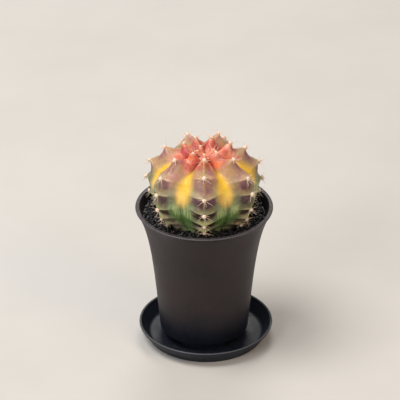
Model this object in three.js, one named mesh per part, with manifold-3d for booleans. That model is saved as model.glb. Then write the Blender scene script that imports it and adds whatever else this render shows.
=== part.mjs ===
// Potted moon cactus: a ribbed, variegated chin cactus on its own roots, in black grit, in a
// flared black plastic pot that stands in its drip saucer.
// Millimetres, +Z up. The origin is on the pot's axis, on the surface that the saucer stands on.
// Azimuths are in degrees from -Y, the side with the front rib, turning towards +X.

import * as THREE from "three";
import { mergeVertices } from "three/addons/utils/BufferGeometryUtils.js";
import Module from "manifold-3d";

const wasm = await Module();
wasm.setup();

// Driving dimensions

const CLEARANCE = 0.35; // air left between a piece and the one it sits in
const ROUND_STEPS = 48; // facets round the pot, the saucer and the soil

const SAUCER = {
  height: 9,
  rimRadius: 39.2,
  baseRadius: 33.2,
  floor: 1.5,
  wall: 1.4,
  centre: [1, -1], // the pot stands a little off the saucer's middle
};

const POT = {
  height: 80, // from the wall's lower edge to the lip
  baseRadius: 25.7,
  taper: 0.085, // outward, per millimetre of height
  flare: 7.5, // what the mouth adds to the straight taper
  flareDepth: 16, // how quickly that flare dies away below the lip
  wall: 1.6,
  lipExtra: 0.8, // the lip is thicker than the wall by this
  lipDepth: 2.5,
  floor: 2,
  footHeight: 4,
  footRadius: 22.5,
  footWall: 2.5,
  footNotch: 9,
  footNotches: 4,
  middleHole: 4,
  drainHole: 2.5,
  drainCircle: 13,
  drainHoles: 6,
};
const WALL_FOOT = SAUCER.floor + POT.footHeight; // lower edge of the pot's outer wall
const SOIL_FLOOR = WALL_FOOT + POT.floor;
const RIM = WALL_FOOT + POT.height;

const GRIT = {
  top: RIM - 5.3, // of the bed that the grains stand out of
  bottom: RIM - 11,
  rows: [28.2, 31.8, 35.2], // radii of the rings of grains
  spacing: 4.5, // between grains along a ring
  size: 2.4, // a grain's half width
};

// Azimuth of each rib's crest, and the polar angles of its areoles, measured at the middle of
// the globe. Neighbouring ribs carry them about half a step apart.
const RIBS = [
  { azimuth: 0, areoles: [11, 31.5, 53.5, 75, 91.5, 106, 118.5] },
  { azimuth: 53, areoles: [18.6, 40.7, 64, 80, 97.3, 111, 122.5] },
  { azimuth: 104, areoles: [12, 30.4, 47.6, 69.6, 88.5, 102.5, 116] },
  { azimuth: 158, areoles: [23, 42.5, 62, 79.5, 95.5, 109.5, 121] },
  { azimuth: 202, areoles: [13, 27, 51, 70.5, 88, 103, 116.5] },
  { azimuth: 256, areoles: [10, 23.8, 45.9, 68.3, 86.6, 102.9, 116] },
  { azimuth: 307.5, areoles: [18.8, 41.5, 63.8, 81, 97.4, 110.5, 121.8] },
];
const FOLD_DEPTHS = [1, 1, 1, 0.55, 1, 1, 1]; // of the fold after each rib, as a share

const BODY = {
  centre: RIM + 13, // height of the middle of the globe
  columns: [0, 0.13, 0.42, 0.74], // of the skin, from a crest towards the fold at 1
  rings: [0.2, 0.46, 0.76, 1], // of the skin, between one areole and the next
  buriedFrom: 126, // polar angle at which the body goes into the grit
  flankStraight: 0.35, // share of the flank that is straight, so that crests and folds are sharp
  ridgeAbove: 2.3, // how far the ridge across an areole reaches up the rib
  ridgeBelow: 3.6, // and down it
  areoleHeight: 0.9, // the woolly pad that each group of spines grows from
  areoleRadius: 1.5,
};
// Distance from the globe's middle against the polar angle, along a crest between its areoles
// and in a fold
const CREST = [
  [0, 19.6], [10, 20.9], [18, 23.3], [24, 25.6], [31, 27.4], [41, 29], [50, 30.3],
  [64, 31.9], [78, 32], [90, 31.6], [104, 30.8], [112, 30.3], [126, 28.9],
];
const FOLD = [
  [0, 19.6], [15, 19.7], [28, 20.8], [40, 22], [50, 23.8], [64, 26.8],
  [75, 28.8], [87, 29.9], [97, 29.9], [107, 29.3], [118, 28.3], [126, 27.3],
];
// How far the ridge across an areole stands out, and how many degrees it climbs between the
// crest and the fold: near the crown it droops instead
const RIDGE = [[0, 0], [10, 0.8], [24, 1.6], [60, 1.9], [100, 1.7], [126, 1.3]];
const CLIMB = [[40, -4], [55, -1], [65, 5], [78, 9], [126, 10]];
// The buried base and tap root, as radius and depth below the lowest ring of the ribbed skin
const ROOT = [[21.5, -3.2], [16.5, -6.8], [10, -10], [6.5, -15], [5, -24], [3, -33], [0, -36]];

// Each spine's direction round the areole, in degrees from straight down the rib, how far it
// stands up from the skin, and its length
const SPINES = [
  { round: 0, lift: 40, length: 4.2 },
  { round: 66, lift: 32, length: 4.8 },
  { round: -66, lift: 32, length: 4.8 },
  { round: 140, lift: 46, length: 3.2 },
  { round: -140, lift: 46, length: 3.2 },
];
const SPINE_RADIUS = 0.28;
const SPINE_SEAT = 1; // how far from the middle of the areole each spine leaves it
const SPINE_SINK = 0.45; // how far below the areole's top it does so
const SPINE_ROOT = 0.55; // the length of each spine that is sunk in the skin
const SPINE_AIR = 0.6; // kept between a low spine and the grit

// Small tools

const radians = THREE.MathUtils.degToRad;

function seeded(seed) {
  let state = seed;
  return () => {
    state = (Math.imul(state, 1664525) + 1013904223) >>> 0;
    return state / 4294967296;
  };
}

// A smooth curve through [x, y] points, held level beyond its ends.
function through(points, x) {
  const last = points.length - 1;
  if (x <= points[0][0]) return points[0][1];
  if (x >= points[last][0]) return points[last][1];
  const i = points.findIndex(([px]) => px > x) - 1;
  const slope = (a, b) => (points[b][1] - points[a][1]) / (points[b][0] - points[a][0]);
  const step = points[i + 1][0] - points[i][0];
  const t = (x - points[i][0]) / step;
  const m0 = slope(Math.max(i - 1, 0), i + 1) * step;
  const m1 = slope(i, Math.min(i + 2, last)) * step;
  const [y0, y1] = [points[i][1], points[i + 1][1]];
  return (
    (2 * t ** 3 - 3 * t ** 2 + 1) * y0 +
    (t ** 3 - 2 * t ** 2 + t) * m0 +
    (3 * t ** 2 - 2 * t ** 3) * y1 +
    (t ** 3 - t ** 2) * m1
  );
}

function solidOf(geometry) {
  const bare = geometry.clone();
  bare.deleteAttribute("normal");
  bare.deleteAttribute("uv");
  const merged = mergeVertices(bare, 1e-3);
  const mesh = new wasm.Mesh({
    numProp: 3,
    vertProperties: merged.attributes.position.array,
    triVerts: new Uint32Array(merged.index.array),
  });
  return new wasm.Manifold(mesh);
}

function geometryOf(solid) {
  const mesh = solid.getMesh();
  const geometry = new THREE.BufferGeometry();
  geometry.setAttribute("position", new THREE.BufferAttribute(mesh.vertProperties, 3));
  geometry.setIndex(new THREE.BufferAttribute(mesh.triVerts, 1));
  geometry.computeVertexNormals();
  return geometry;
}

// Joins solids in pairs, which is quicker than one at a time.
function joined(solids) {
  let rest = solids;
  while (rest.length > 1) {
    const pairs = [];
    for (let i = 0; i < rest.length; i += 2) {
      pairs.push(i + 1 < rest.length ? rest[i].add(rest[i + 1]) : rest[i]);
    }
    rest = pairs;
  }
  return rest[0];
}

// The biggest body of a solid, without the crumbs that a cut can leave beside it. They show
// once the vertices are rounded, so the solid makes a round trip through a geometry.
function largest(solid) {
  const bodies = solidOf(geometryOf(solid)).decompose();
  return bodies.reduce((a, b) => (a.volume() > b.volume() ? a : b));
}

// A solid of revolution about Z from [radius, height] points, which run up the outside and
// back down the inside.
function turned(profile, steps = ROUND_STEPS) {
  const points = profile.map(([r, z]) => new THREE.Vector2(r, z));
  return new THREE.LatheGeometry(points, steps).rotateX(Math.PI / 2);
}

// Points of a quarter-like arc from one angle to another, in degrees anticlockwise from +r.
function arc(r, z, radius, from, to, steps) {
  return Array.from({ length: steps + 1 }, (_, i) => {
    const a = radians(from + ((to - from) * i) / steps);
    return [r + radius * Math.cos(a), z + radius * Math.sin(a)];
  });
}

// Saucer: a shallow dish with a sloped wall and a rounded lip

function saucerGeometry() {
  const { height, rimRadius, baseRadius, floor, wall } = SAUCER;
  const lip = wall / 2;
  const heel = 1.6; // rounding where the wall leaves the base
  const cove = 2;
  const lean = (rimRadius - baseRadius - heel) / (height - heel);
  const innerFloor = baseRadius + heel - wall - cove + 0.3;
  const profile = [
    [0, 0],
    [baseRadius - 0.4, 0],
    [baseRadius, 0.15],
    [baseRadius + 0.9, 0.7],
    [baseRadius + heel, heel],
    [rimRadius - 0.45 * lean, height - lip - 0.8],
    ...arc(rimRadius - lip, height - lip, lip, 0, 180, 4),
    [rimRadius - wall - 0.6 * lean, height - lip - 1],
    [innerFloor + cove - 0.1, floor + cove],
    [innerFloor + 1.2, floor + 0.55],
    [innerFloor, floor],
    [0, floor],
  ];
  return turned(profile);
}

// Pot: a straight taper with a mouth that flares out to the lip, on a notched foot ring

function potRadius(height) {
  const depth = RIM - height;
  const rise = POT.height - depth;
  return POT.baseRadius + POT.taper * rise + POT.flare * Math.exp(-depth / POT.flareDepth);
}

function potBore(height) {
  const lip = POT.lipExtra * Math.exp((height - RIM) / POT.lipDepth);
  return potRadius(height) - POT.wall - lip;
}

// Heights at which the wall's profile has a point, closer together where the mouth flares.
const WALL_DEPTHS = [3.5, 8, 14, 22, 33, 50];

function potGeometry() {
  const edge = 0.7;
  const outside = WALL_DEPTHS.map((d) => [potRadius(RIM - d), RIM - d]);
  const inside = WALL_DEPTHS.map((d) => [potBore(RIM - d), RIM - d]);
  const mouth = potRadius(RIM);
  const bore = potBore(RIM);
  const footInner = POT.footRadius - POT.footWall;
  const profile = [
    [0, WALL_FOOT],
    [footInner, WALL_FOOT],
    [footInner, SAUCER.floor],
    [POT.footRadius, SAUCER.floor],
    [POT.footRadius, WALL_FOOT],
    [POT.baseRadius - 1.2, WALL_FOOT],
    [POT.baseRadius - 0.3, WALL_FOOT + 0.35],
    [POT.baseRadius + 0.1, WALL_FOOT + 1.2],
    ...outside.reverse(),
    ...arc(mouth - edge, RIM - edge, edge, 0, 90, 3),
    ...arc(bore + edge / 2, RIM - edge / 2, edge / 2, 90, 180, 2),
    ...inside,
    [potBore(SOIL_FLOOR), SOIL_FLOOR],
    [0, SOIL_FLOOR],
  ];
  const round = solidOf(turned(profile));
  const holeHeight = POT.floor + 2;
  const upright = (g, x, y, z) => solidOf(g.rotateX(Math.PI / 2).translate(x, y, z));
  const midFloor = WALL_FOOT + POT.floor / 2;
  const cuts = [
    upright(new THREE.CylinderGeometry(POT.middleHole, POT.middleHole, holeHeight, 16), 0, 0, midFloor),
  ];
  for (let i = 0; i < POT.drainHoles; i++) {
    const a = (2 * Math.PI * i) / POT.drainHoles;
    const hole = new THREE.CylinderGeometry(POT.drainHole, POT.drainHole, holeHeight, 12);
    cuts.push(upright(hole, POT.drainCircle * Math.cos(a), POT.drainCircle * Math.sin(a), midFloor));
  }
  for (let i = 0; i < POT.footNotches; i++) {
    const a = (Math.PI * (2 * i + 1)) / POT.footNotches;
    const deep = POT.footHeight - 1;
    const notch = new THREE.BoxGeometry(POT.footWall * 3, POT.footNotch, deep + 1);
    notch.translate(POT.footRadius - POT.footWall / 2, 0, SAUCER.floor + (deep - 1) / 2);
    cuts.push(solidOf(notch.rotateZ(a)));
  }
  return geometryOf(round.subtract(joined(cuts)));
}

// Cactus body: a globe of ribs round a sunken crown

const RIB_COUNT = RIBS.length;

// Places of the skin's columns round the body, in rib widths: a rib's crest is a whole number
// and the fold after it half a width further.
const PLACES = RIBS.flatMap((_, rib) => [
  ...BODY.columns.map((off) => rib + off / 2),
  rib + 0.5,
  ...BODY.columns.slice(1).reverse().map((off) => rib + 1 - off / 2),
]);

function ribAt(place) {
  return ((Math.round(place) % RIB_COUNT) + RIB_COUNT) % RIB_COUNT;
}

function azimuthAt(place) {
  const crest = (i) => RIBS[ribAt(i)].azimuth + 360 * Math.floor(i / RIB_COUNT);
  const rib = Math.round(place);
  const fold = (crest(rib) + crest(rib + (place >= rib ? 1 : -1))) / 2;
  return crest(rib) + (fold - crest(rib)) * 2 * Math.abs(place - rib);
}

// The young areoles by the crown are small.
function areoleSize(polar) {
  return 0.4 + 0.6 * THREE.MathUtils.smoothstep(polar, 5, 38);
}

// Distance from the globe's middle to the skin. place is in rib widths round the body.
function skinRadius(polar, place) {
  const rib = Math.round(place);
  const off = Math.min(2 * Math.abs(place - rib), 1); // 0 at the crest, 1 in the fold
  const crest = through(CREST, polar);
  const depth = FOLD_DEPTHS[ribAt(Math.floor(place))] * (crest - through(FOLD, polar));
  const { flankStraight, ridgeAbove, ridgeBelow, areoleHeight, areoleRadius } = BODY;
  const across = crest * Math.sin(radians(polar)) * radians(azimuthAt(place) - azimuthAt(rib));
  const climb = through(CLIMB, polar) * off;
  const ridge = RIBS[ribAt(place)].areoles.map((areole) => {
    const below = crest * radians(polar + climb - areole);
    const width = below < 0 ? ridgeAbove : ridgeBelow;
    return through(RIDGE, areole) * Math.exp(-((below / width) ** 2)) * (1 - off ** 2) ** 1.2;
  });
  const pad = RIBS[ribAt(place)].areoles.map((areole) => {
    const along = crest * radians(polar - areole);
    return areoleSize(areole) * Math.exp(-(along ** 2 + across ** 2) / areoleRadius ** 2);
  });
  const flank = flankStraight * off + (1 - flankStraight) * off ** 2;
  return crest - depth * flank + Math.max(...ridge) + areoleHeight * Math.max(...pad);
}

function skinPoint(polar, place, grown = 0) {
  const distance = skinRadius(polar, place) + grown;
  const azimuth = radians(azimuthAt(place));
  const radius = distance * Math.sin(radians(polar));
  return new THREE.Vector3(
    radius * Math.sin(azimuth),
    -radius * Math.cos(azimuth),
    BODY.centre + distance * Math.cos(radians(polar)),
  );
}

// Polar angle of each of the skin's rings at a crest: the rings run through its areoles.
const RING_ANGLES = RIBS.map(({ areoles }) => {
  const stops = [0, ...areoles, BODY.buriedFrom];
  const between = stops.slice(1).map((stop, i) => BODY.rings.map((t) => stops[i] + (stop - stops[i]) * t));
  return [0, ...between.flat()];
});

function ringAngle(ring, place) {
  const here = RING_ANGLES[ribAt(place)][ring];
  const next = RING_ANGLES[ribAt(place >= Math.round(place) ? Math.ceil(place) : Math.floor(place))][ring];
  return here + (next - here) * Math.abs(place - Math.round(place));
}

const BURIED_HEIGHT = BODY.centre + 30 * Math.cos(radians(BODY.buriedFrom));

// A sphere whose rings are moved to the ribbed skin and, below it, to the round base and root.
function bodyGeometry(grown = 0) {
  const around = PLACES.length;
  const above = RING_ANGLES[0].length - 1;
  const rings = above + ROOT.length;
  const sphere = new THREE.SphereGeometry(1, around, rings);
  const position = sphere.attributes.position;
  const uv = sphere.attributes.uv;
  for (let i = 0; i < position.count; i++) {
    const place = PLACES[(i % (around + 1)) % around];
    const ring = Math.round((1 - uv.getY(i)) * rings);
    const point = new THREE.Vector3();
    if (ring <= above) {
      point.copy(skinPoint(ringAngle(ring, place), ring === 0 ? 0 : place, grown));
      if (ring === 0) point.set(0, 0, point.z);
    } else {
      const [radius, depth] = ROOT[ring - above - 1];
      const azimuth = radians(azimuthAt(place));
      const spread = radius > 0 ? radius + grown : 0;
      const deeper = radius > 0 ? 0 : grown;
      point.set(spread * Math.sin(azimuth), -spread * Math.cos(azimuth), BURIED_HEIGHT + depth - deeper);
    }
    position.setXYZ(i, point.x, point.y, point.z);
  }
  return sphere;
}

// Spines

// Where each areole is: its middle, the direction it faces, down the rib and across it, and its
// size.
function areoleSeats() {
  const seats = [];
  RIBS.forEach(({ azimuth, areoles }, rib) => {
    areoles.forEach((polar) => {
      const middle = skinPoint(polar, rib);
      const facing = middle.clone().sub(new THREE.Vector3(0, 0, BODY.centre)).normalize();
      const across = new THREE.Vector3(Math.cos(radians(azimuth)), Math.sin(radians(azimuth)), 0);
      const down = across.clone().cross(facing);
      seats.push({ middle, facing, across, down, size: areoleSize(polar) });
    });
  });
  return seats;
}

const GRIT_PEAK = GRIT.top + GRIT.size * 0.75; // no grain reaches higher

function spineSolid(seat, spine, random) {
  const round = radians(spine.round + 10 * (random() - 0.5));
  const lift = radians(spine.lift + 10 * (random() - 0.5));
  const size = 0.4 + 0.6 * seat.size;
  const length = spine.length * size * (0.92 + 0.16 * random());
  const sideways = new THREE.Vector3()
    .addScaledVector(seat.down, Math.cos(round))
    .addScaledVector(seat.across, Math.sin(round));
  const direction = sideways.clone().multiplyScalar(Math.cos(lift));
  direction.addScaledVector(seat.facing, Math.sin(lift));
  const start = seat.middle.clone().addScaledVector(sideways, SPINE_SEAT * size);
  start.addScaledVector(seat.facing, -SPINE_SINK * size);
  start.z = Math.max(start.z, GRIT_PEAK + SPINE_AIR);
  const lowest = GRIT_PEAK + SPINE_AIR - start.z;
  if (direction.z * length < lowest) {
    // a low spine lies along the grit: it keeps its length and loses its dip
    const dip = Math.min(lowest / length, 0.9);
    const level = new THREE.Vector3(direction.x, direction.y, 0).setLength(Math.sqrt(1 - dip ** 2));
    direction.set(level.x, level.y, dip);
  }
  const cone = new THREE.ConeGeometry(SPINE_RADIUS * size, length + SPINE_ROOT, 3);
  cone.translate(0, (length - SPINE_ROOT) / 2, 0);
  const up = new THREE.Vector3(0, 1, 0);
  cone.applyQuaternion(new THREE.Quaternion().setFromUnitVectors(up, direction));
  return solidOf(cone.translate(...start));
}

function cactusGeometry() {
  const random = seeded(11);
  const spines = areoleSeats().flatMap((seat) => SPINES.map((spine) => spineSolid(seat, spine, random)));
  return geometryOf(largest(solidOf(bodyGeometry()).add(joined(spines))));
}

// Soil and grit

function soilGeometry() {
  const holes = ROOT.slice()
    .reverse()
    .map(([radius, depth]) => [radius > 0 ? radius + CLEARANCE : 0, BURIED_HEIGHT + depth])
    .filter(([, height]) => height < GRIT.bottom);
  holes[0][1] -= CLEARANCE;
  const walls = WALL_DEPTHS.map((d) => RIM - d).filter((z) => z < GRIT.bottom - 1);
  const profile = [
    [0, SOIL_FLOOR],
    [potBore(SOIL_FLOOR) - CLEARANCE, SOIL_FLOOR],
    ...walls.reverse().map((z) => [potBore(z) - CLEARANCE, z]),
    [potBore(GRIT.bottom) - CLEARANCE, GRIT.bottom],
    [rootRadiusAt(GRIT.bottom) + CLEARANCE, GRIT.bottom],
    ...holes.reverse(),
  ];
  return turned(profile);
}

// Radius of the buried base at a height, along the straight runs between the root's rings.
function rootRadiusAt(height) {
  const i = ROOT.findIndex(([, depth]) => BURIED_HEIGHT + depth < height);
  const [below, above] = [ROOT[i], ROOT[i - 1] ?? [24.5, 0]];
  const t = (height - BURIED_HEIGHT - below[1]) / (above[1] - below[1]);
  return below[0] + (above[0] - below[0]) * t;
}

function grainSolid(radius, azimuth, random) {
  const grain = new THREE.OctahedronGeometry(1, 0);
  const merged = mergeVertices(grain.deleteAttribute("normal").deleteAttribute("uv"), 1e-4);
  const corners = merged.attributes.position;
  for (let i = 0; i < corners.count; i++) {
    const reach = 0.78 + 0.4 * random();
    corners.setXYZ(i, corners.getX(i) * reach, corners.getY(i) * reach, corners.getZ(i) * reach);
  }
  merged.scale(GRIT.size, GRIT.size * (0.75 + 0.25 * random()), GRIT.size * 0.7);
  merged.applyQuaternion(new THREE.Quaternion().setFromEuler(
    new THREE.Euler(0.9 * (random() - 0.5), 0.9 * (random() - 0.5), 2 * Math.PI * random()),
  ));
  const height = GRIT.top + 0.35 * (random() - 0.5);
  merged.translate(radius * Math.sin(azimuth), -radius * Math.cos(azimuth), height);
  return solidOf(merged);
}

function gritGeometry() {
  const random = seeded(5);
  const grains = GRIT.rows.flatMap((row) => {
    const count = Math.round((2 * Math.PI * row) / GRIT.spacing);
    return Array.from({ length: count }, (_, i) => {
      const azimuth = (2 * Math.PI * (i + 0.5 * random())) / count;
      return grainSolid(row + 0.7 * (random() - 0.5), azimuth, random);
    });
  });
  const bedInner = 14;
  const bedOuter = potBore(GRIT.bottom) - CLEARANCE;
  const bed = [
    [bedInner, GRIT.bottom],
    [bedOuter, GRIT.bottom],
    [potBore(GRIT.top) - CLEARANCE, GRIT.top],
    [bedInner, GRIT.top],
    [bedInner, GRIT.bottom],
  ];
  const mould = [
    [0, GRIT.bottom],
    [bedOuter, GRIT.bottom],
    [potBore(GRIT.top) - CLEARANCE, GRIT.top],
    [potBore(GRIT_PEAK) - CLEARANCE, GRIT_PEAK],
    [0, GRIT_PEAK],
  ];
  const heap = joined([solidOf(turned(bed)), ...grains]).intersect(solidOf(turned(mould)));
  return geometryOf(largest(heap.subtract(solidOf(bodyGeometry(CLEARANCE)))));
}

// Materials

const plastic = new THREE.MeshStandardMaterial({ color: 0x2b2a2c, roughness: 0.55, metalness: 0 });
const potPlastic = plastic.clone();
const peat = new THREE.MeshStandardMaterial({ color: 0x2a211b, roughness: 0.95, metalness: 0 });
const lava = new THREE.MeshStandardMaterial({ color: 0x1d1c1e, roughness: 0.6, metalness: 0 });
const skin = new THREE.MeshStandardMaterial({ color: 0x9a8a63, roughness: 0.45, metalness: 0 });

// Assembly

function piece(name, geometry, material) {
  const mesh = new THREE.Mesh(geometry, material);
  mesh.name = name;
  return mesh;
}

const pottedCactus = new THREE.Group();
const saucer = piece("saucer", saucerGeometry(), plastic);
saucer.position.set(SAUCER.centre[0], SAUCER.centre[1], 0);
pottedCactus.add(
  saucer,
  piece("pot", potGeometry(), potPlastic),
  piece("soil", soilGeometry(), peat),
  piece("grit", gritGeometry(), lava),
  piece("cactus", cactusGeometry(), skin),
);

export default pottedCactus;
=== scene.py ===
# %% [markdown]
# # Potted moon cactus
#
# The plant is a variegated, ribbed globe on its own roots. It stands in black grit, in a flared black
# plastic pot on a drip saucer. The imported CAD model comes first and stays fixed: every piece made below
# takes its place from it, so nothing has to be fitted afterwards. The shapes are modelled in
# millimetres, as a gardener would measure them, and each finished mesh is scaled to metres once.

# %% Load the frame
import math
import random

import bmesh
import bpy
from mathutils import Matrix, Vector, noise
from mathutils.bvhtree import BVHTree


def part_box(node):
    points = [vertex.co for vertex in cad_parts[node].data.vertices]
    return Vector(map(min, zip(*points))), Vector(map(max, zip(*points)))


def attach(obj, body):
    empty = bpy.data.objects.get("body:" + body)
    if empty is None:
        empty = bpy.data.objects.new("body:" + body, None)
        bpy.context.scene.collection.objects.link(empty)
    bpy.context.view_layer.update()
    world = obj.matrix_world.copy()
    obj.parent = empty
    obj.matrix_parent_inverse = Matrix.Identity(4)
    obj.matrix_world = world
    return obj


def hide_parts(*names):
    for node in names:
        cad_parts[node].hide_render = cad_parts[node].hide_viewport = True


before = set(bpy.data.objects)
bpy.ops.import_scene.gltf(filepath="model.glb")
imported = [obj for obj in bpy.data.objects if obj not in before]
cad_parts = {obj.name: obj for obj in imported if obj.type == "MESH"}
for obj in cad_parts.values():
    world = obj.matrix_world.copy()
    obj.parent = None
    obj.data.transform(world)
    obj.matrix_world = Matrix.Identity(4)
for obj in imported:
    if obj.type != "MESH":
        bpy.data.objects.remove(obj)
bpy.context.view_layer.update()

MM = 0.001
FULL_TURN = 2 * math.pi
print("CAD nodes:", sorted(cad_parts))

# %% [markdown]
# ## Camera
#
# The photograph was taken from about two metres away with a long lens, a little above the plant. The
# camera's place comes from the ellipses of the pot's lip and of the saucer, which fix the distance and
# the angle together. A long lens keeps the pot's sides almost parallel.

# %% Place the camera
CAMERA_PLACE = (-2.43, -1765.4, 1088.4)
CAMERA_TILT = 60.49  # degrees up from looking straight down
LENS = 315
SENSOR = 36
CLIP = (0.05, 50)  # in metres


def add_object(name, data):
    """Adds a mesh, a light or a camera to the scene as an object at the origin."""
    added = bpy.data.objects.new(name, data)
    bpy.context.scene.collection.objects.link(added)
    return added


def place_camera():
    data = bpy.data.cameras.new("camera")
    data.lens, data.sensor_width = LENS, SENSOR
    data.clip_start, data.clip_end = CLIP
    camera = add_object("camera", data)
    camera.location = Vector(CAMERA_PLACE) * MM
    camera.rotation_euler = (math.radians(CAMERA_TILT), 0, 0)
    bpy.context.scene.camera = camera
    print("camera at", [round(c, 3) for c in camera.location])


place_camera()

# %% [markdown]
# ## Light
#
# The part is shown on a plain pale floor under soft studio light. In the photograph the light comes
# from the upper left, so the main softbox stands there. A second one behind lifts the outline of the
# spines, and a weak warm one on the right keeps the dark side of the pot readable.

# %% Make the softboxes and the surrounding light
# The place and size of each in metres, its power in watts and its colour
SOFTBOXES = {
    "main_softbox": ((-0.55, -0.04, 1.25), 0.7, 12.4, (1, 0.97, 0.93)),
    "back_softbox": ((0.05, 0.95, 0.95), 0.6, 6, (1, 0.96, 0.9)),
    "front_softbox": ((-0.82, -0.98, 0.7), 0.7, 6.9, (1, 0.98, 0.95)),
    "side_softbox": ((0.85, -0.6, 0.8), 0.6, 3.9, (1, 0.73, 0.49)),
}
AIM = Vector((0, 0, 0.08))
SURROUND = (0.9, 0.93, 1.0)
SURROUND_STRENGTH = 0.3


def make_softbox(name, place, size, power, colour):
    data = bpy.data.lights.new(name, "AREA")
    data.shape = "DISK"
    data.size = size
    data.energy = power
    data.color = colour
    light = add_object(name, data)
    light.location = place
    light.rotation_euler = (AIM - Vector(place)).to_track_quat("-Z", "Y").to_euler()


def make_surround():
    world = bpy.data.worlds.new("surround")
    world.use_nodes = True
    background = world.node_tree.nodes["Background"]
    background.inputs["Color"].default_value = (*SURROUND, 1)
    background.inputs["Strength"].default_value = SURROUND_STRENGTH
    bpy.context.scene.world = world


for softbox, values in SOFTBOXES.items():
    make_softbox(softbox, *values)
make_surround()
bpy.context.scene.view_settings.view_transform = "Standard"
print("lights:", len(SOFTBOXES))

# %% [markdown]
# ## Material helpers
#
# Every finish here is procedural: nodes work it out from the piece's own coordinates or attributes.
# Wiring nodes by hand is wordy, so a few helpers do it. Each takes plain numbers, colours or the
# outputs of other nodes, and gives back the output that the next node needs.

# %% Helpers that wire nodes
def fill_socket(tree, socket, value):
    """Links a node's output to the socket, or sets the socket to a number, vector or colour."""
    if isinstance(value, bpy.types.NodeSocket):
        tree.links.new(value, socket)
    elif socket.type == "RGBA":
        socket.default_value = (*value, 1)
    else:
        socket.default_value = value


def add_node(tree, kind, inputs=None, **settings):
    """Adds a node. Its inputs are given by name, or by number where a name comes twice."""
    node = tree.nodes.new(kind)
    for name, value in settings.items():
        setattr(node, name, value)
    for name, value in (inputs or {}).items():
        fill_socket(tree, node.inputs[name], value)
    return node


def blend(tree, factor, first, second, mode="MIX"):
    sockets = {0: factor, 6: first, 7: second}
    return add_node(tree, "ShaderNodeMix", sockets, data_type="RGBA", blend_type=mode).outputs[2]


def remap(tree, value, low, high, to_low=0, to_high=1):
    """value, stretched from low..high to to_low..to_high and held there, with soft ends."""
    sockets = {"Value": value, "From Min": low, "From Max": high, "To Min": to_low, "To Max": to_high}
    return add_node(tree, "ShaderNodeMapRange", sockets, interpolation_type="SMOOTHSTEP").outputs["Result"]


def calculate(tree, operation, first, second):
    return add_node(tree, "ShaderNodeMath", {0: first, 1: second}, operation=operation).outputs[0]


def times(tree, value, share):
    return value if share == 1 else calculate(tree, "MULTIPLY", value, share)


def layered(tree, colour, *layers):
    """A colour with others over it. A layer is a mask, the share of it that counts and a colour."""
    for mask, share, over in layers:
        colour = blend(tree, times(tree, mask, share), colour, over)
    return colour


def cloud(tree, vector, scale, detail=2.0, roughness=0.5):
    sockets = {"Vector": vector, "Scale": scale, "Detail": detail, "Roughness": roughness}
    return add_node(tree, "ShaderNodeTexNoise", sockets).outputs["Fac"]


def attribute(tree, name):
    """A number that the mesh carries at each of its points."""
    return add_node(tree, "ShaderNodeAttribute", attribute_name=name).outputs["Fac"]


def height_of(tree, vector):
    return add_node(tree, "ShaderNodeSeparateXYZ", {"Vector": vector}).outputs["Z"]


def relief(tree, height, strength, distance):
    """The normal of a surface that rises and falls with the height."""
    sockets = {"Height": height, "Strength": strength, "Distance": distance}
    return add_node(tree, "ShaderNodeBump", sockets).outputs["Normal"]


def new_material(name):
    """A material with a Principled shader, its node tree and the piece's own coordinates."""
    material = bpy.data.materials.new(name)
    material.use_nodes = True
    tree = material.node_tree
    return material, tree, add_node(tree, "ShaderNodeTexCoord").outputs["Object"]


def set_shader(tree, **values):
    """Fills the shader's sockets. base_color stands for its Base Color, and so on."""
    for name, value in values.items():
        socket = name.replace("_", " ").title().replace("Ior", "IOR")
        fill_socket(tree, tree.nodes["Principled BSDF"].inputs[socket], value)


def new_group(name, inputs, outputs):
    """An empty node group, its Vector and other inputs, which have defaults, and its outputs."""
    group = bpy.data.node_groups.new(name, "ShaderNodeTree")
    group.interface.new_socket("Vector", in_out="INPUT", socket_type="NodeSocketVector")
    for socket, default in inputs.items():
        kind = "Color" if isinstance(default, tuple) else "Float"
        made = group.interface.new_socket(socket, in_out="INPUT", socket_type=f"NodeSocket{kind}")
        made.default_value = default
    for socket in outputs:
        kind = "Color" if socket == "Color" else "Float"
        group.interface.new_socket(socket, in_out="OUTPUT", socket_type=f"NodeSocket{kind}")
    return group, group.nodes.new("NodeGroupInput").outputs, group.nodes.new("NodeGroupOutput").inputs


def use_group(tree, group, place, **inputs):
    """Adds a node group and gives back its outputs. fine_share stands for its Fine share."""
    sockets = {name.replace("_", " ").capitalize(): value for name, value in inputs.items()}
    return add_node(tree, "ShaderNodeGroup", {"Vector": place, **sockets}, node_tree=group).outputs


# %% [markdown]
# ## Shared effects
#
# Four effects come back in several finishes, so each is a node group, made once. Broken edge roughens
# the border of a painted mask, the way pigment stops unevenly in living skin. Fine grain is the small
# relief of a surface, at two sizes. Mottle is a slow drift between lighter and darker. Settled dust
# gathers where a surface faces up.

# %% Broken edge
def make_broken_edge():
    group, given, made = new_group("broken_edge", {"Mask": 0.0, "Scale": 500.0, "Amount": 0.4}, ["Mask"])
    mask = given["Mask"]
    drift = calculate(group, "SUBTRACT", cloud(group, given["Vector"], given["Scale"], 3.0), 0.5)
    drift = times(group, drift, given["Amount"])
    # the drift only acts where the mask is already changing
    slack = times(group, mask, calculate(group, "SUBTRACT", 1.0, mask))
    moved = calculate(group, "ADD", mask, times(group, drift, times(group, slack, 4.0)))
    group.links.new(remap(group, moved, 0.0, 1.0), made["Mask"])
    return group


BROKEN_EDGE = make_broken_edge()


def rough_edged(tree, place, mask, scale, amount):
    return use_group(tree, BROKEN_EDGE, place, mask=mask, scale=scale, amount=amount)["Mask"]


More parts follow.
